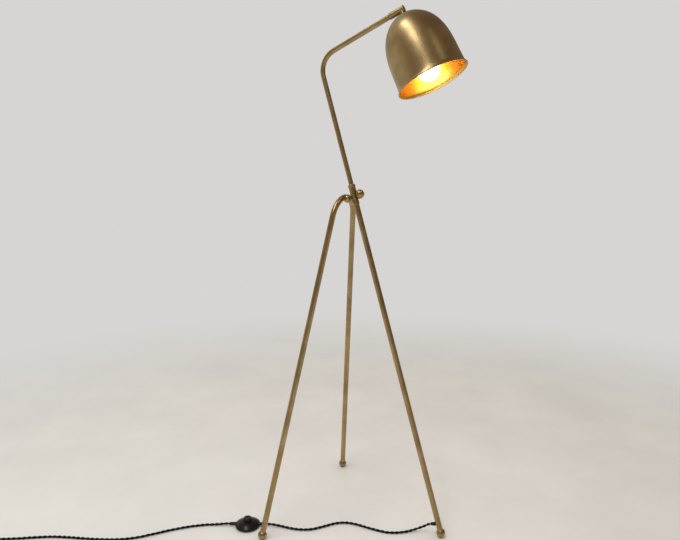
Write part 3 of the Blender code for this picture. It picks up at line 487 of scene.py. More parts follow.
# The metal mirrors a dim warm room with a lit wall behind the lamp on its left.
lit = addNode(tree, "ShaderNodeVectorMath", {"operation": "DOT_PRODUCT"}, {0: room, 1: (0.26, 0.97, 0.05)})
wallGlow = addNode(tree, "ShaderNodeMapRange", {"interpolation_type": "SMOOTHSTEP"}, {
    "Value": lit.outputs["Value"], "From Min": 0.25, "From Max": 0.95})
mirrored = ramp(tree, wallGlow.outputs[0], [(0.0, hexColour("#857868")), (1.0, hexColour("#D2CBC0"))])
around = addNode(tree, "ShaderNodeBackground", inputs={"Color": mirrored, "Strength": 0.95})
even = addNode(tree, "ShaderNodeBackground", inputs={"Color": hexColour("#F4F1EC"), "Strength": 0.86})
seen = addNode(tree, "ShaderNodeBackground", inputs={"Color": hexColour(view["wall"])})
ray = addNode(tree, "ShaderNodeLightPath").outputs
soft = addNode(tree, "ShaderNodeMixShader", inputs={
    0: ray["Is Diffuse Ray"], 1: around.outputs[0], 2: even.outputs[0]})
both = addNode(tree, "ShaderNodeMixShader", inputs={
    0: ray["Is Camera Ray"], 1: soft.outputs[0], 2: seen.outputs[0]})
addNode(tree, "ShaderNodeOutputWorld", inputs={"Surface": both.outputs[0]})

# Each soft box faces the floor: its place from the lamp's middle, its turn, size, watts and colour.
softBoxes = {
    "longBox": ((-1.28, 0.12, 2.5), 27.6, (2.3, 0.42), 27, "#F2F6FF"),
    "sideBox": ((-0.62, -1.42, 2.45), 55, (0.9, 0.25), 0.9, "#FFFFFF"),
}
for name, (place, turn, size, watts, colour) in softBoxes.items():
    data = bpy.data.lights.new(name, "AREA")
    data.shape, data.size, data.size_y = "RECTANGLE", *size
    data.energy = watts
    data.color = hexColour(colour)[:3]
    box = bpy.data.objects.new(name, data)
    bpy.context.scene.collection.objects.link(box)
    box.location = middle + Vector(place)
    box.rotation_euler = (0, 0, math.radians(turn))
print("camera, floor and light ready")


cord = {
    "diameter": 6.6 * mm,
    "lay": 25 * mm,  # length of one full twist
    "step": 1.5 * mm,
    "sides": 8,
    "coilTurns": 5,
    "coilRadius": 36.3 * mm,
    "coilBase": 1.4 * mm,
    "tailBend": 28.05 * mm,
    "tailBack": 12 * mm,
    "tailHeight": 21.75 * mm,
}


def twistedPair():
    tree, given = nodeGroup("twistedPair", {
        "Strand radius": ("Float", 1.65 * mm), "Lay": ("Float", 25 * mm), "Step": ("Float", 1.5 * mm),
        "Sides": ("Int", 8), "Material": ("Material", None)})
    line = addNode(tree, "GeometryNodeMeshToCurve", inputs={"Mesh": given["Geometry"]})
    even = addNode(tree, "GeometryNodeResampleCurve", {"mode": "LENGTH"}, {
        "Curve": line.outputs[0], "Length": given["Step"]})
    length = addNode(tree, "GeometryNodeSplineParameter").outputs["Length"]
    normal = addNode(tree, "GeometryNodeInputNormal").outputs["Normal"]
    tangent = addNode(tree, "GeometryNodeInputTangent").outputs[0]
    side = addNode(tree, "ShaderNodeVectorMath", {"operation": "CROSS_PRODUCT"}, {0: tangent, 1: normal})
    share = addNode(tree, "ShaderNodeMath", {"operation": "DIVIDE"}, {0: length, 1: given["Lay"]})
    strands = []
    for half in (0.0, 0.5):
        moved = addNode(tree, "ShaderNodeMath", {"operation": "ADD"}, {0: share.outputs[0], 1: half})
        angle = addNode(tree, "ShaderNodeMath", {"operation": "MULTIPLY"}, {
            0: moved.outputs[0], 1: 2 * math.pi})
        parts = []
        for wave, way in (("COSINE", normal), ("SINE", side.outputs[0])):
            factor = addNode(tree, "ShaderNodeMath", {"operation": wave}, {0: angle.outputs[0]})
            part = addNode(tree, "ShaderNodeVectorMath", {"operation": "SCALE"}, {
                0: way, "Scale": factor.outputs[0]})
            parts.append(part.outputs[0])
        turned = addNode(tree, "ShaderNodeVectorMath", {"operation": "ADD"}, {0: parts[0], 1: parts[1]})
        offset = addNode(tree, "ShaderNodeVectorMath", {"operation": "SCALE"}, {
            0: turned.outputs[0], "Scale": given["Strand radius"]})
        path = addNode(tree, "GeometryNodeSetPosition", inputs={
            "Geometry": even.outputs[0], "Offset": offset.outputs[0]})
        marked = addNode(tree, "GeometryNodeStoreNamedAttribute", {"data_type": "FLOAT", "domain": "POINT"}, {
            "Geometry": path.outputs[0], "Name": "along", "Value": length})
        circle = addNode(tree, "GeometryNodeCurvePrimitiveCircle", inputs={
            "Resolution": given["Sides"], "Radius": given["Strand radius"]})
        turn = addNode(tree, "GeometryNodeSplineParameter").outputs["Factor"]
        section = addNode(tree, "GeometryNodeStoreNamedAttribute",
                          {"data_type": "FLOAT", "domain": "POINT"}, {
            "Geometry": circle.outputs[0], "Name": "around", "Value": turn})
        tube = addNode(tree, "GeometryNodeCurveToMesh", inputs={
            "Curve": marked.outputs[0], "Profile Curve": section.outputs[0], "Fill Caps": True})
        strands.append(tube.outputs[0])
    both = addNode(tree, "GeometryNodeJoinGeometry")
    for strand in strands:
        tree.links.new(strand, both.inputs[0])
    endGroup(tree, both.outputs[0], given["Material"])
    return tree


pairTree = twistedPair()


def layCord(name, points):
    values = {"Strand radius": cord["diameter"] / 4, "Lay": cord["lay"], "Step": cord["step"],
              "Sides": cord["sides"], "Material": blackCotton}
    return runGroup(polyline(name, points), pairTree, values, 60)


def lengthOf(points):
    return sum((q - p).length for p, q in zip(points, points[1:]))


# Points listed in metres from the middle of the tripod: out of the front leg and along the floor.
lampRoute = (
    (0.0000, -0.2373, 0.0282), (-0.0004, -0.2290, 0.0243), (-0.0010, -0.2208, 0.0183),
    (-0.0035, -0.2108, 0.0124), (-0.0080, -0.2008, 0.0078), (-0.0165, -0.1895, 0.0046),
    (-0.0270, -0.1776, 0.0034), (-0.0369, -0.1651, 0.0034), (-0.0445, -0.1525, 0.0034),
    (-0.0501, -0.1390, 0.0034), (-0.0535, -0.1170, 0.0034), (-0.0547, -0.0850, 0.0034),
    (-0.0550, -0.0520, 0.0034), (-0.0610, -0.0240, 0.0034), (-0.0770, -0.0010, 0.0034),
    (-0.1030, 0.0190, 0.0034), (-0.1270, 0.0390, 0.0034), (-0.1420, 0.0620, 0.0034),
    (-0.1500, 0.0890, 0.0034), (-0.1540, 0.1180, 0.0036), (-0.1600, 0.1385, 0.0054),
    (-0.1643, 0.1470, 0.0064), (-0.1687, 0.1560, 0.0066),
)
coilRoute = (
    (-0.2117, 0.2418, 0.0066), (-0.2161, 0.2508, 0.0062), (-0.2235, 0.2660, 0.0045),
    (-0.2320, 0.2820, 0.0035), (-0.2420, 0.2980, 0.0034), (-0.2680, 0.3290, 0.0034),
    (-0.3000, 0.3590, 0.0034), (-0.3350, 0.3870, 0.0034), (-0.3650, 0.4120, 0.0034),
    (-0.3890, 0.4400, 0.0034), (-0.4080, 0.4730, 0.0034), (-0.4270, 0.5150, 0.0034),
    (-0.4440, 0.5600, 0.0034), (-0.4630, 0.6030, 0.0034), (-0.4860, 0.6410, 0.0034),
    (-0.5100, 0.6760, 0.0034), (-0.5300, 0.7090, 0.0034), (-0.5402, 0.7325, 0.0036),
    (-0.5493, 0.7534, 0.0044),
)


def ease(value):
    value = max(0.0, min(1.0, value))
    return value * value * (3 - 2 * value)


def coilPoints():
    # Three turns side by side on the floor, two more on top of them, then the tail up to the plug.
    d, radius, base = cord["diameter"], cord["coilRadius"], cord["coilBase"] + cord["diameter"] / 2
    lanes = [(radius + d, 0), (radius, 0), (radius - d, 0), (radius - d, 1), (radius, 1)]
    points, perTurn = [], 24
    for i in range(cord["coilTurns"] * perTurn + 1):
        turn = min(i // perTurn, cord["coilTurns"] - 1)
        part = i / perTurn - turn
        lane, after = lanes[turn], lanes[min(turn + 1, len(lanes) - 1)]
        move = ease((part - 0.78) / 0.22)
        r = lane[0] + (after[0] - lane[0]) * move
        z = base + d * (lane[1] + (after[1] - lane[1]) * move)
        angle = 2 * math.pi * i / perTurn
        points.append(Vector((r * math.cos(angle), r * math.sin(angle), z)))
    centre = Vector((radius - cord["tailBend"], cord["tailBack"], 0))
    climb = [13.4, 15.8, 17.8, 19.4, 20.6, 21.4, 21.75]  # mm above the floor, every 30 degrees
    for i, z in enumerate(climb):
        angle = math.radians(30 * i)
        way = Vector((math.cos(angle), math.sin(angle), 0)) * cord["tailBend"]
        points.append(centre + way + Vector((0, 0, z * mm)))
    points.append(Vector((points[-1].x, cord["tailBack"] - 5 * mm, cord["tailHeight"])))
    return [coil @ p for p in points]


lampLine = smoothThrough([middle + Vector(p) for p in lampRoute], 8)
switchCord = layCord("cordToSwitch", lampLine)
finish(switchCord, "stand", ["cord_lamp_to_switch"])
coilLine = smoothThrough([middle + Vector(p) for p in coilRoute] + coilPoints(), 6)
plugCord = layCord("cordToPlug", coilLine)
finish(plugCord, "stand", ["cord_switch_to_coil", "cord_coil", "cord_tail"])
print("cord lengths", round(lengthOf(lampLine), 3), round(lengthOf(coilLine), 3))


def bentTubeTree():
    tree, given = nodeGroup("bentTube", {
        "Tube radius": ("Float", 7 * mm), "Bend radius": ("Float", 50 * mm), "Bend steps": ("Int", 40),
        "Sides": ("Int", 40), "Material": ("Material", None)})
    line = addNode(tree, "GeometryNodeMeshToCurve", inputs={"Mesh": given["Geometry"]})
    bent = addNode(tree, "GeometryNodeFilletCurve", {"mode": "POLY"}, {
        "Curve": line.outputs[0], "Radius": given["Bend radius"], "Count": given["Bend steps"]})
    along = addNode(tree, "GeometryNodeSplineParameter").outputs["Length"]
    marked = addNode(tree, "GeometryNodeStoreNamedAttribute", {"data_type": "FLOAT", "domain": "POINT"}, {
        "Geometry": bent.outputs[0], "Name": "along", "Value": along})
    circle = addNode(tree, "GeometryNodeCurvePrimitiveCircle", inputs={
        "Resolution": given["Sides"], "Radius": given["Tube radius"]})
    around = addNode(tree, "GeometryNodeSplineParameter").outputs["Factor"]
    section = addNode(tree, "GeometryNodeStoreNamedAttribute", {"data_type": "FLOAT", "domain": "POINT"}, {
        "Geometry": circle.outputs[0], "Name": "around", "Value": around})
    tube = addNode(tree, "GeometryNodeCurveToMesh", inputs={
        "Curve": marked.outputs[0], "Profile Curve": section.outputs[0], "Fill Caps": True})
    readings = [addNode(tree, "GeometryNodeInputNamedAttribute", {"data_type": "FLOAT"}, {"Name": label})
                for label in ("around", "along")]
    angle = addNode(tree, "ShaderNodeMath", {"operation": "MULTIPLY"}, {
        0: readings[0].outputs["Attribute"], 1: 2 * math.pi})
    axes = []
    for wave in ("COSINE", "SINE"):
        factor = addNode(tree, "ShaderNodeMath", {"operation": wave}, {0: angle.outputs[0]})
        axes.append(addNode(tree, "ShaderNodeMath", {"operation": "MULTIPLY"}, {
            0: factor.outputs[0], 1: given["Tube radius"]}).outputs[0])
    grain = addNode(tree, "ShaderNodeCombineXYZ", inputs={
        0: axes[0], 1: axes[1], 2: readings[1].outputs["Attribute"]})
    kept = addNode(tree, "GeometryNodeStoreNamedAttribute",
                   {"data_type": "FLOAT_VECTOR", "domain": "POINT"}, {
        "Geometry": tube.outputs[0], "Name": "grain", "Value": grain.outputs[0]})
    endGroup(tree, kept.outputs[0], given["Material"])
    return tree


tubeTree = bentTubeTree()


def bentTube(name, points, radius, bend, steps=40, sides=40):
    values = {"Tube radius": radius, "Bend radius": bend, "Bend steps": steps, "Sides": sides,
              "Material": drawnBrass}
    return runGroup(polyline(name, points), tubeTree, values)


socket = 6.8 * mm  # from a ball's centre to the leg's end in it
legLine = [frontLeg @ Vector((0, 0, z)) for z in (socket, 0.4, lamp["footToJoint"] - 4 * mm)]
piece = bentTube("frontLeg", legLine, lamp["legRadius"], 0.01, 2)
finish(piece, "stand", ["front_leg_tube"])
half = lamp["feetApart"] / 2
ownRise = crownRise - lamp["crownRadius"]
splay = (math.atan2(half, ownRise) - math.asin(lamp["crownRadius"] / math.hypot(half, ownRise)))
apex = ownRise + lamp["crownRadius"] / math.sin(splay)
ends = [Vector((side * (half - math.sin(splay) * socket), 0, math.cos(splay) * socket)) for side in (1, -1)]
hairpinLine = [hairpin @ p for p in (ends[0], Vector((0, 0, apex)), ends[1])]
piece = bentTube("hairpin", hairpinLine, lamp["legRadius"], lamp["crownRadius"], 64)
finish(piece, "stand", ["hairpin_tube"])
armTip = armEnd @ Vector((0, 0, -8 * mm))
stemLine = [joint @ Vector((0, 0, -0.15)), joint @ Vector((0, 0, lamp["cornerHeight"])), armTip]
piece = bentTube("stemAndArm", stemLine, lamp["stemRadius"], lamp["stemBend"], 40)
finish(piece, "stem", ["stem_tube"])
print("tubes ready")


foot = {"radius": lamp["ballRadius"], "flat": 9.4 * mm, "padRadius": 5.5 * mm, "padThick": 1.6 * mm}


def ballProfile(radius, flat, steps=26):
    lowest = -math.asin(flat / radius)
    angles = [math.pi / 2 + (lowest - math.pi / 2) * i / steps for i in range(steps + 1)]
    points = [(radius * math.cos(a), radius * math.sin(a)) for a in angles]
    points[0] = (0, radius)
    edge = points[-1][0]
    return points + [(edge - 0.4 * mm, -flat - 0.1 * mm), (0, -flat - 0.1 * mm)]


for name, x, y in (("front", 0, -lamp["feetDepth"] * 2 / 3), ("left", -half, lamp["feetDepth"] / 3),
                   ("right", half, lamp["feetDepth"] / 3)):
    place = Matrix.Translation(middle) @ shift(x, y, lamp["ballRadius"])
    ball = lathe(name + "Ball", ballProfile(foot["radius"], foot["flat"]), place, turnedBrass, 56)
    finish(ball, "stand", [name + "_foot_ball"])
    wide, thick = foot["padRadius"], foot["padThick"]
    pad = softened([(0, thick), (wide, thick), (wide, 0), (0, 0)], 0.35 * mm)
    padPlace = Matrix.Translation(middle) @ shift(x, y, 0)
    finish(lathe(name + "Pad", pad, padPlace, blackRubber, 40), "stand", [name + "_foot_pad"])


# Joint: sleeve, ferrule, hub ball and lock knob.

sleeve = {"radius": 8.6 * mm, "bead": 9.4 * mm, "beadHeight": 7 * mm, "above": 31.5 * mm, "below": 7.7 * mm}
wall, bead, top, bottom = sleeve["radius"], sleeve["bead"], sleeve["above"], -sleeve["below"]
profile = [(6.4 * mm, top - 3 * mm), (6.4 * mm, top), (bead - 0.9 * mm, top), (bead, top - 1.2 * mm),
           (bead, top - sleeve["beadHeight"] + 2 * mm), (wall, top - sleeve["beadHeight"]),
           (wall, bottom + 2.4 * mm), (wall + 0.5 * mm, bottom + 1.6 * mm), (wall + 0.3 * mm, bottom),
           (7.5 * mm, bottom), (7.5 * mm, top - 3 * mm)]
piece = lathe("jointSleeve", softened(profile, 0.45 * mm), joint, turnedBrass, 64)
finish(piece, "stand", ["joint_sleeve"])
low = bottom - 12.8 * mm
profile = [(7.3 * mm, bottom - 0.3 * mm), (7.6 * mm, bottom - 0.3 * mm), (7.6 * mm, bottom - 1.5 * mm),
           (8.6 * mm, bottom - 2.3 * mm), (8.5 * mm, low + 1.5 * mm), (7.8 * mm, low), (7.3 * mm, low)]
piece = lathe("legFerrule", softened(profile, 0.4 * mm), joint, turnedBrass, 64)
finish(piece, "stand", ["leg_ferrule"])

hub = {"setback": 20.1 * mm, "height": 1.2 * mm, "radius": 10.8 * mm, "neck": 4.5 * mm}
angles = [math.pi / 2 - math.pi * i / 32 for i in range(33)]
profile = [(hub["radius"] * math.cos(a), hub["radius"] * math.sin(a)) for a in angles]
profile[0] = (0, hub["radius"])
near = [point for point in profile if point[1] > 0 or point[0] > hub["neck"]]
front = -hub["setback"] + 8.7 * mm
profile = near + [(hub["neck"], -9.9 * mm), (hub["neck"] + 0.3 * mm, front), (0, front)]
hubAxis = joint @ shift(0, hub["setback"], hub["height"]) @ turnX(-90)
piece = lathe("hubBall", profile, hubAxis, turnedBrass, 64)
finish(piece, "stand", ["hub_ball", "hub_pin"])

knob = {"reach": 16 * mm, "radius": 11.8 * mm, "flat": 4.5 * mm, "neck": 3.8 * mm}
lowest = -math.asin(knob["flat"] / knob["radius"])
angles = [math.pi / 2 + (lowest - math.pi / 2) * i / 28 for i in range(29)]
profile = [(knob["radius"] * math.cos(a), knob["reach"] + knob["radius"] * math.sin(a)) for a in angles]
profile[0] = (0, knob["reach"] + knob["radius"])
back = knob["reach"] - knob["flat"]
tail = softened([profile[-1], (profile[-1][0] - 0.7 * mm, back - 0.25 * mm), (knob["neck"] + 1.0 * mm, back),
                 (knob["neck"], back - 0.9 * mm), (knob["neck"], 9.7 * mm), (0, 9.7 * mm)], 0.3 * mm)
piece = lathe("lockKnob", profile + tail[1:], knobAxis, turnedBrass, 64)
finish(piece, "knob", ["lock_knob"])

exitAt = frontLeg @ shift(0, 0, 23.7 * mm) @ turnX(-90)
tipZ = 20.8 * mm
profile = [(3.2 * mm, tipZ), (3.9 * mm, tipZ - 0.5 * mm), (4.7 * mm, 9.2 * mm), (4.9 * mm, 7.6 * mm),
           (3.3 * mm, 7.4 * mm), (3.3 * mm, 5 * mm), (2.1 * mm, 5 * mm), (2.1 * mm, tipZ)]
grommet = lathe("cordGrommet", softened(profile, 0.35 * mm), exitAt, blackMoulded, 40)
finish(grommet, "stand", ["cord_grommet"])
print("joint ready")


shade = {"radius": 86.0 * mm, "drop": 0.1826, "top": 12.1 * mm, "wall": 1.0 * mm, "lip": 1.3 * mm,
         "sides": 128}
heights = ((0.062, 0.0), (0.128, 0.003), (0.231, 0.020), (0.369, 0.055), (0.522, 0.110), (0.662, 0.185),
           (0.775, 0.280), (0.855, 0.390), (0.905, 0.510), (0.930, 0.640), (0.940, 0.770), (0.948, 0.880),
           (0.960, 0.950), (0.985, 0.985))
depth = shade["drop"] - shade["top"]
outer = smoothThrough([(r * shade["radius"], -shade["top"] - h * depth, 0) for r, h in heights], 5)
outer = [(p.x, p.y) for p in outer]
inner = []
for i, (r, z) in enumerate(outer):
    a, b = outer[max(i - 1, 0)], outer[min(i + 1, len(outer) - 1)]
    run = math.hypot(b[0] - a[0], b[1] - a[1])
    inner.append((r + (b[1] - a[1]) / run * shade["wall"], z - (b[0] - a[0]) / run * shade["wall"]))
rimZ = -shade["drop"]
lip = shade["lip"]
centre = (shade["radius"] - lip * 0.9, rimZ + lip * 0.95)
turns = [math.radians(a) for a in range(75, -196, -30)]
roll = [(centre[0] + lip * math.cos(a), centre[1] + lip * math.sin(a)) for a in turns]
profile = outer[:-1] + roll + inner[:-2][::-1]
bell = lathe("shadeBell", profile, shadeHead, turnedBrass, shade["sides"], loop=True, sharp=50)
bell.data.materials.append(innerBrass)
firstInner = (len(outer) - 1 + len(roll) - 3) * shade["sides"]
for face in bell.data.polygons:
    face.material_index = 1 if face.index >= firstInner else 0
finish(bell, "shade_head", ["shade_bell"])

collar = {"bore": 6.4 * mm, "radius": 7.6 * mm, "back": -33 * mm, "front": 5.8 * mm, "boss": 6.6 * mm}
bore, skin = collar["bore"], collar["radius"]
profile = [(bore, collar["front"]), (skin - 0.1 * mm, collar["front"]),
           (skin, collar["front"] - 0.6 * mm), (skin, collar["back"] + 1.0 * mm),
           (skin - 0.5 * mm, collar["back"]), (bore, collar["back"])]
piece = lathe("swivelCollar", softened(profile, 0.3 * mm), armEnd, turnedBrass, 64, loop=True)
finish(piece, "shade_head", ["swivel_collar"])
profile = [(0, -4.5 * mm), (collar["boss"] - 0.4 * mm, -4.5 * mm), (collar["boss"] - 0.4 * mm, -8.4 * mm),
           (collar["boss"], -9.0 * mm), (collar["boss"] - 0.2 * mm, -10.0 * mm), (0, -10.0 * mm)]
piece = lathe("collarBoss", softened(profile, 0.3 * mm), shadeHead, turnedBrass, 48)
finish(piece, "shade_head")
profile = [(0, 8.0 * mm), (4.5 * mm, 7.85 * mm), (7.4 * mm, 7.3 * mm), (8.3 * mm, 6.8 * mm),
           (8.3 * mm, 6.2 * mm), (7.9 * mm, 6.0 * mm), (6.1 * mm, 6.0 * mm), (6.1 * mm, 4.9 * mm),
           (0, 4.9 * mm)]
piece = lathe("armEndCap", softened(profile, 0.3 * mm), armEnd, turnedBrass, 64)
finish(piece, "shade_head", ["end_cap"])
profile = [(5.3 * mm, -10.3 * mm), (8.4 * mm, -10.3 * mm), (9.0 * mm, -11.0 * mm), (9.0 * mm, -11.8 * mm),
           (5.3 * mm, -11.8 * mm)]
piece = lathe("domeSeat", softened(profile, 0.3 * mm), shadeHead, turnedBrass, 56, loop=True)
finish(piece, "shade_head", ["dome_seat"])


headDown = (shadeHead.to_3x3() @ Vector((0, 0, -1))).normalized()


def alongHead(node):
    # How far below the arm a turned piece of the head begins and ends.
    points = [v.co - shadeHead.translation for v in frame["nodes"][node].data.vertices]
    reach = [p.dot(headDown) for p in points]
    return -min(reach), -max(reach)


top, bottom = alongHead("holder_cap")
profile = [(5.3 * mm, top), (8 * mm, top - 0.4 * mm), (14.5 * mm, top - 3.2 * mm),
           (17 * mm, top - 6.5 * mm), (17 * mm, bottom + 3.4 * mm), (16.4 * mm, bottom + 2.9 * mm),
           (17 * mm, bottom + 2.4 * mm), (17 * mm, bottom), (15.4 * mm, bottom),
           (15.4 * mm, top - 6.5 * mm), (7.5 * mm, top - 3 * mm), (5.3 * mm, top - 3 * mm)]
piece = lathe("holderCap", softened(profile, 0.6 * mm), shadeHead, turnedBrass, 64, loop=True)
finish(piece, "shade_head", ["holder_cap"])
top, bottom = alongHead("holder_shell")
profile = [(17 * mm, top), (17 * mm, bottom + 3.6 * mm), (17.9 * mm, bottom + 2.6 * mm),
           (18 * mm, bottom + 0.6 * mm), (17.4 * mm, bottom), (15.4 * mm, bottom), (15.4 * mm, top)]
piece = lathe("holderShell", softened(profile, 0.5 * mm), shadeHead, turnedBrass, 64, loop=True)
finish(piece, "shade_head", ["holder_shell"])

globe = {"radius": 27.5 * mm, "centre": -0.1535}
top, bottom = alongHead("bulb_glass")
start = math.radians(40)
angles = [start - (start + math.pi / 2) * i / 30 for i in range(31)]
ballSide = [(globe["radius"] * math.cos(a), globe["centre"] + globe["radius"] * math.sin(a)) for a in angles]
ballSide[-1] = (0, globe["centre"] - globe["radius"])
neck = smoothThrough([(11.6 * mm, top, 0), (11.8 * mm, top - 6 * mm, 0), (13.0 * mm, top - 12 * mm, 0),
                      (15.6 * mm, top - 20 * mm, 0), (18.6 * mm, top - 27 * mm, 0),
                      (ballSide[0][0], ballSide[0][1], 0)], 4)
profile = [(0, top)] + [(p.x, p.y) for p in neck[:-1]] + ballSide
piece = lathe("bulbGlobe", profile, shadeHead, opalGlass, 72)
finish(piece, "shade_head", ["bulb_glass"])
print("shade head ready")


footSwitch = {"radius": 32 * mm, "top": 16.5 * mm, "seam": 7.3 * mm, "slope": 1.8, "hole": 11.1 * mm,
              "button": 10.6 * mm, "buttonTop": 25 * mm}
rim = footSwitch["radius"]
profile = [(0, 1.5 * mm), (rim - 1.4 * mm, 1.5 * mm), (rim - 0.3 * mm, 2.2 * mm), (rim, 3.4 * mm),
           (rim, 6.6 * mm), (rim - 0.3 * mm, 6.9 * mm), (rim - 2 * mm, 6.9 * mm),
           (rim - 2 * mm, 3.5 * mm), (0, 3.5 * mm)]
base = lathe("switchBase", softened(profile[::-1], 0.4 * mm), switch, blackMoulded, 96)
finish(base, "stand", ["switch_base", "switch_screw_a", "switch_screw_b"])
side = []
for i in range(25):
    share = 1 - i / 24
    rise = 1 - (1 - share) ** footSwitch["slope"]
    reach = rim - (rim - footSwitch["hole"]) * share
    side.append((reach, footSwitch["seam"] + (footSwitch["top"] - footSwitch["seam"]) * rise))
side[-1:] = [(rim - 0.1 * mm, footSwitch["seam"] + 0.4 * mm), (rim - 0.3 * mm, footSwitch["seam"])]
profile = [(footSwitch["hole"], 14.6 * mm)] + side + [(rim - 2 * mm, 7.3 * mm), (rim - 5 * mm, 9 * mm)]
cover = lathe("switchCover", profile, switch, blackMoulded, 96, loop=True)
finish(cover, "stand", ["switch_cover", "contact_block"])
cap, crest = footSwitch["button"], footSwitch["buttonTop"]
# The button is dished on top and has a flange that the cover holds in.
profile = [(0, crest - 0.9 * mm), (5.2 * mm, crest - 0.75 * mm), (7.4 * mm, crest - 0.25 * mm),
           (8.6 * mm, crest), (cap - 0.8 * mm, crest - 0.5 * mm), (cap - 0.1 * mm, crest - 1.6 * mm),
           (cap, crest - 3 * mm), (cap, 13.0 * mm), (12.4 * mm, 13.0 * mm), (12.4 * mm, 11.7 * mm),
           (0, 11.7 * mm)]
button = lathe("switchButton", softened(profile, 0.5 * mm), switch, blackMoulded, 72)
finish(button, "button", ["switch_button"])
pad = softened([(0, 1.2 * mm), (rim - 3 * mm, 1.2 * mm), (rim - 3 * mm, 0), (0, 0)], 0.3 * mm)
finish(lathe("switchPad", pad, switch, blackRubber, 80), "stand", ["switch_pad"])


def ribTree():
    # Ring ribs along a strain relief, each smaller than the one before.
    tree, given = nodeGroup("taperedRibs", {
        "Count": ("Int", 5), "Spacing": ("Float", 2.6 * mm), "Root radius": ("Float", 4 * mm),
        "Tip radius": ("Float", 3.6 * mm), "Rib": ("Float", 0.6 * mm), "Material": ("Material", None)})
    step = addNode(tree, "ShaderNodeCombineXYZ", inputs={2: given["Spacing"]})
    line = addNode(tree, "GeometryNodeMeshLine", inputs={"Count": given["Count"], "Offset": step.outputs[0]})
    circle = addNode(tree, "GeometryNodeCurvePrimitiveCircle", inputs={"Resolution": 32, "Radius": 1.0})
    small = addNode(tree, "GeometryNodeCurvePrimitiveCircle", inputs={"Resolution": 8})
    share = addNode(tree, "ShaderNodeMath", {"operation": "DIVIDE"},
                    {0: given["Rib"], 1: given["Root radius"]})
    tree.links.new(share.outputs[0], small.inputs["Radius"])
    ring = addNode(tree, "GeometryNodeCurveToMesh", inputs={
        "Curve": circle.outputs[0], "Profile Curve": small.outputs[0]})
    index = addNode(tree, "GeometryNodeInputIndex").outputs[0]
    last = addNode(tree, "ShaderNodeMath", {"operation": "SUBTRACT"}, {0: given["Count"], 1: 1.0})
    size = addNode(tree, "ShaderNodeMapRange", inputs={
        "Value": index, "From Max": last.outputs[0], "To Min": given["Root radius"],
        "To Max": given["Tip radius"]})
    placed = addNode(tree, "GeometryNodeInstanceOnPoints", inputs={
        "Points": line.outputs[0], "Instance": ring.outputs[0], "Scale": size.outputs[0]})
    endGroup(tree, placed.outputs[0], given["Material"])
    return tree


ribs = ribTree()


def addRibs(name, place, count, spacing, root, tip, nodes=()):
    values = {"Count": count, "Spacing": spacing, "Root radius": root, "Tip radius": tip,
              "Rib": 0.55 * mm, "Material": blackMoulded}
    made = runGroup(polyline(name, [Vector((0, 0, 0)), Vector((0, 0, mm))]), ribs, values)
    made.data.transform(place)
    return finish(made, "stand", nodes)


reliefs = []
for name, side in (("inlet", -1), ("outlet", 1)):
    mouth = switch @ shift(0, 0, 6.6 * mm) @ Matrix.Rotation(side * math.pi / 2, 4, "Y")
    profile = [(0, 48 * mm), (3.3 * mm, 48 * mm), (3.6 * mm, 47.6 * mm), (4.1 * mm, 34 * mm),
               (4.1 * mm, 28 * mm), (0, 28 * mm)]
    cone = lathe(name + "Relief", softened(profile, 0.3 * mm), mouth, blackMoulded, 40)
    finish(cone, "stand", ["switch_" + name + "_relief"])
    rings = addRibs(name + "ReliefRibs", mouth @ shift(0, 0, 34.5 * mm), 5, 2.6 * mm, 4.0 * mm, 3.6 * mm)
    reliefs += [cone, rings]
print("foot switch ready")


plug = {"long": 34 * mm, "wide": 27 * mm, "thick": 13.7 * mm, "relief": 20 * mm, "edge": 3.2 * mm,
        "pins": 18.6 * mm}
plugAt = coil @ shift(cord["coilRadius"] - 2 * cord["tailBend"], cord["tailBack"] - 4.3 * mm,
                      cord["tailHeight"]) @ turnX(90)
profile = [(0, plug["relief"]), (5.7 * mm, plug["relief"]), (5.6 * mm, plug["relief"] - 1.2 * mm),
           (3.8 * mm, 0.4 * mm), (3.4 * mm, 0), (0, 0)]
plugRelief = lathe("plugRelief", softened(profile, 0.4 * mm), plugAt, blackMoulded, 40)
finish(plugRelief, "stand", ["plug_relief"])
bm = bmesh.new()
bmesh.ops.create_cube(bm, size=1)
bmesh.ops.subdivide_edges(bm, edges=bm.edges[:], cuts=6, use_grid_fill=True)
for vert in bm.verts:
    x, y, z = vert.co * 2
    near = 0.80 + 0.20 * ease((z + 1) / 1.1)  # narrower where the cord comes in
    crowned = 1 - 0.05 * x * x
    vert.co = (x / 2 * plug["wide"] * near, y / 2 * plug["thick"] * crowned, (z / 2 + 0.5) * plug["long"])
mesh = bpy.data.meshes.new("plugBody")
bm.to_mesh(mesh)
bm.free()
mesh.transform(plugAt @ shift(0, 0, plug["relief"] + 0.3 * mm))
body = newObject("plugBody", mesh, blackMoulded, 60)
edge = body.modifiers.new("rounded edges", "BEVEL")
edge.width, edge.segments, edge.limit_method, edge.angle_limit = plug["edge"], 4, "ANGLE", math.radians(50)
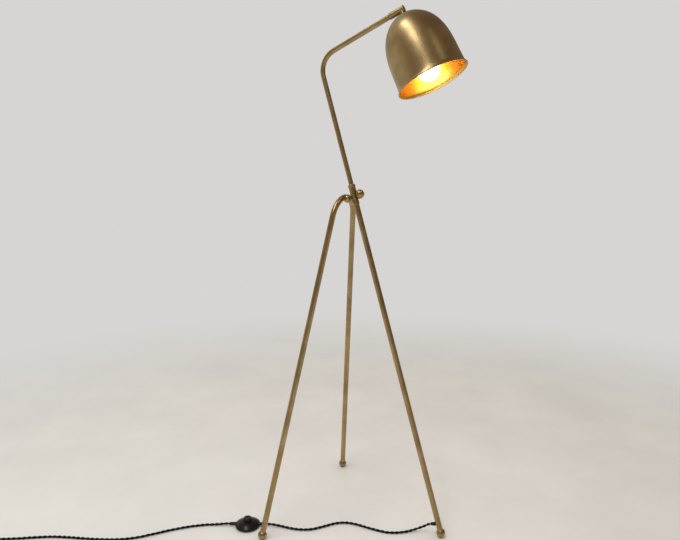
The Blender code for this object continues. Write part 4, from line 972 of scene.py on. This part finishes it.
finish(body, "stand", ["plug_body"])
for name, side in (("A", -1), ("B", 1)):
    place = plugAt @ shift(side * plug["pins"] / 2, 0, plug["relief"] + plug["long"] + 0.1 * mm)
    profile = [(0, 19.4 * mm), (1.0 * mm, 19.3 * mm), (1.8 * mm, 18.2 * mm), (2 * mm, 17 * mm),
               (2 * mm, 0), (0, 0)]
    pin = lathe("plugPin" + name, softened(profile, 0.3 * mm), place, zincSteel, 32)
    finish(pin, "stand", ["plug_pin_" + name.lower()])

tie = {"wide": 9 * mm, "thick": 0.8 * mm, "turn": 150, "round": 3.2 * mm}
tieAt = coil @ Matrix.Rotation(math.radians(tie["turn"]), 4, "Z") @ shift(cord["coilRadius"], 0, 8 * mm)


def roundedLoop(width, height, radius, steps=6):
    loop = []
    for corner, (sx, sz) in enumerate(((1, 1), (-1, 1), (-1, -1), (1, -1))):
        for i in range(steps + 1):
            angle = math.pi / 2 * (corner + i / steps)
            loop.append((sx * (width / 2 - radius) + radius * math.cos(angle),
                         sz * (height / 2 - radius) + radius * math.sin(angle)))
    return loop


outside = roundedLoop(2 * 11.5 * mm, 13.2 * mm + 2 * 1.1 * mm, tie["round"])
inside = roundedLoop(2 * 10.7 * mm, 13.2 * mm + 0.6 * mm, tie["round"] - tie["thick"])
bm = bmesh.new()
strip = []
for y in (-tie["wide"] / 2, tie["wide"] / 2):
    strip.append([[bm.verts.new(tieAt @ Vector((x, y, z))) for x, z in loop] for loop in (outside, inside)])
count = len(outside)
for k in range(count):
    n = (k + 1) % count
    (a, b), (c, d) = strip
    for corners in ((a[k], a[n], c[n], c[k]), (b[k], d[k], d[n], b[n]),
                    (a[k], b[k], b[n], a[n]), (c[k], c[n], d[n], d[k])):
        bm.faces.new(corners)
bmesh.ops.recalc_face_normals(bm, faces=bm.faces)
mesh = bpy.data.meshes.new("coilTie")
bm.to_mesh(mesh)
bm.free()
coilTie = newObject("coilTie", mesh, blackRubber, 50)
finish(coilTie, "stand", ["coil_tie"])
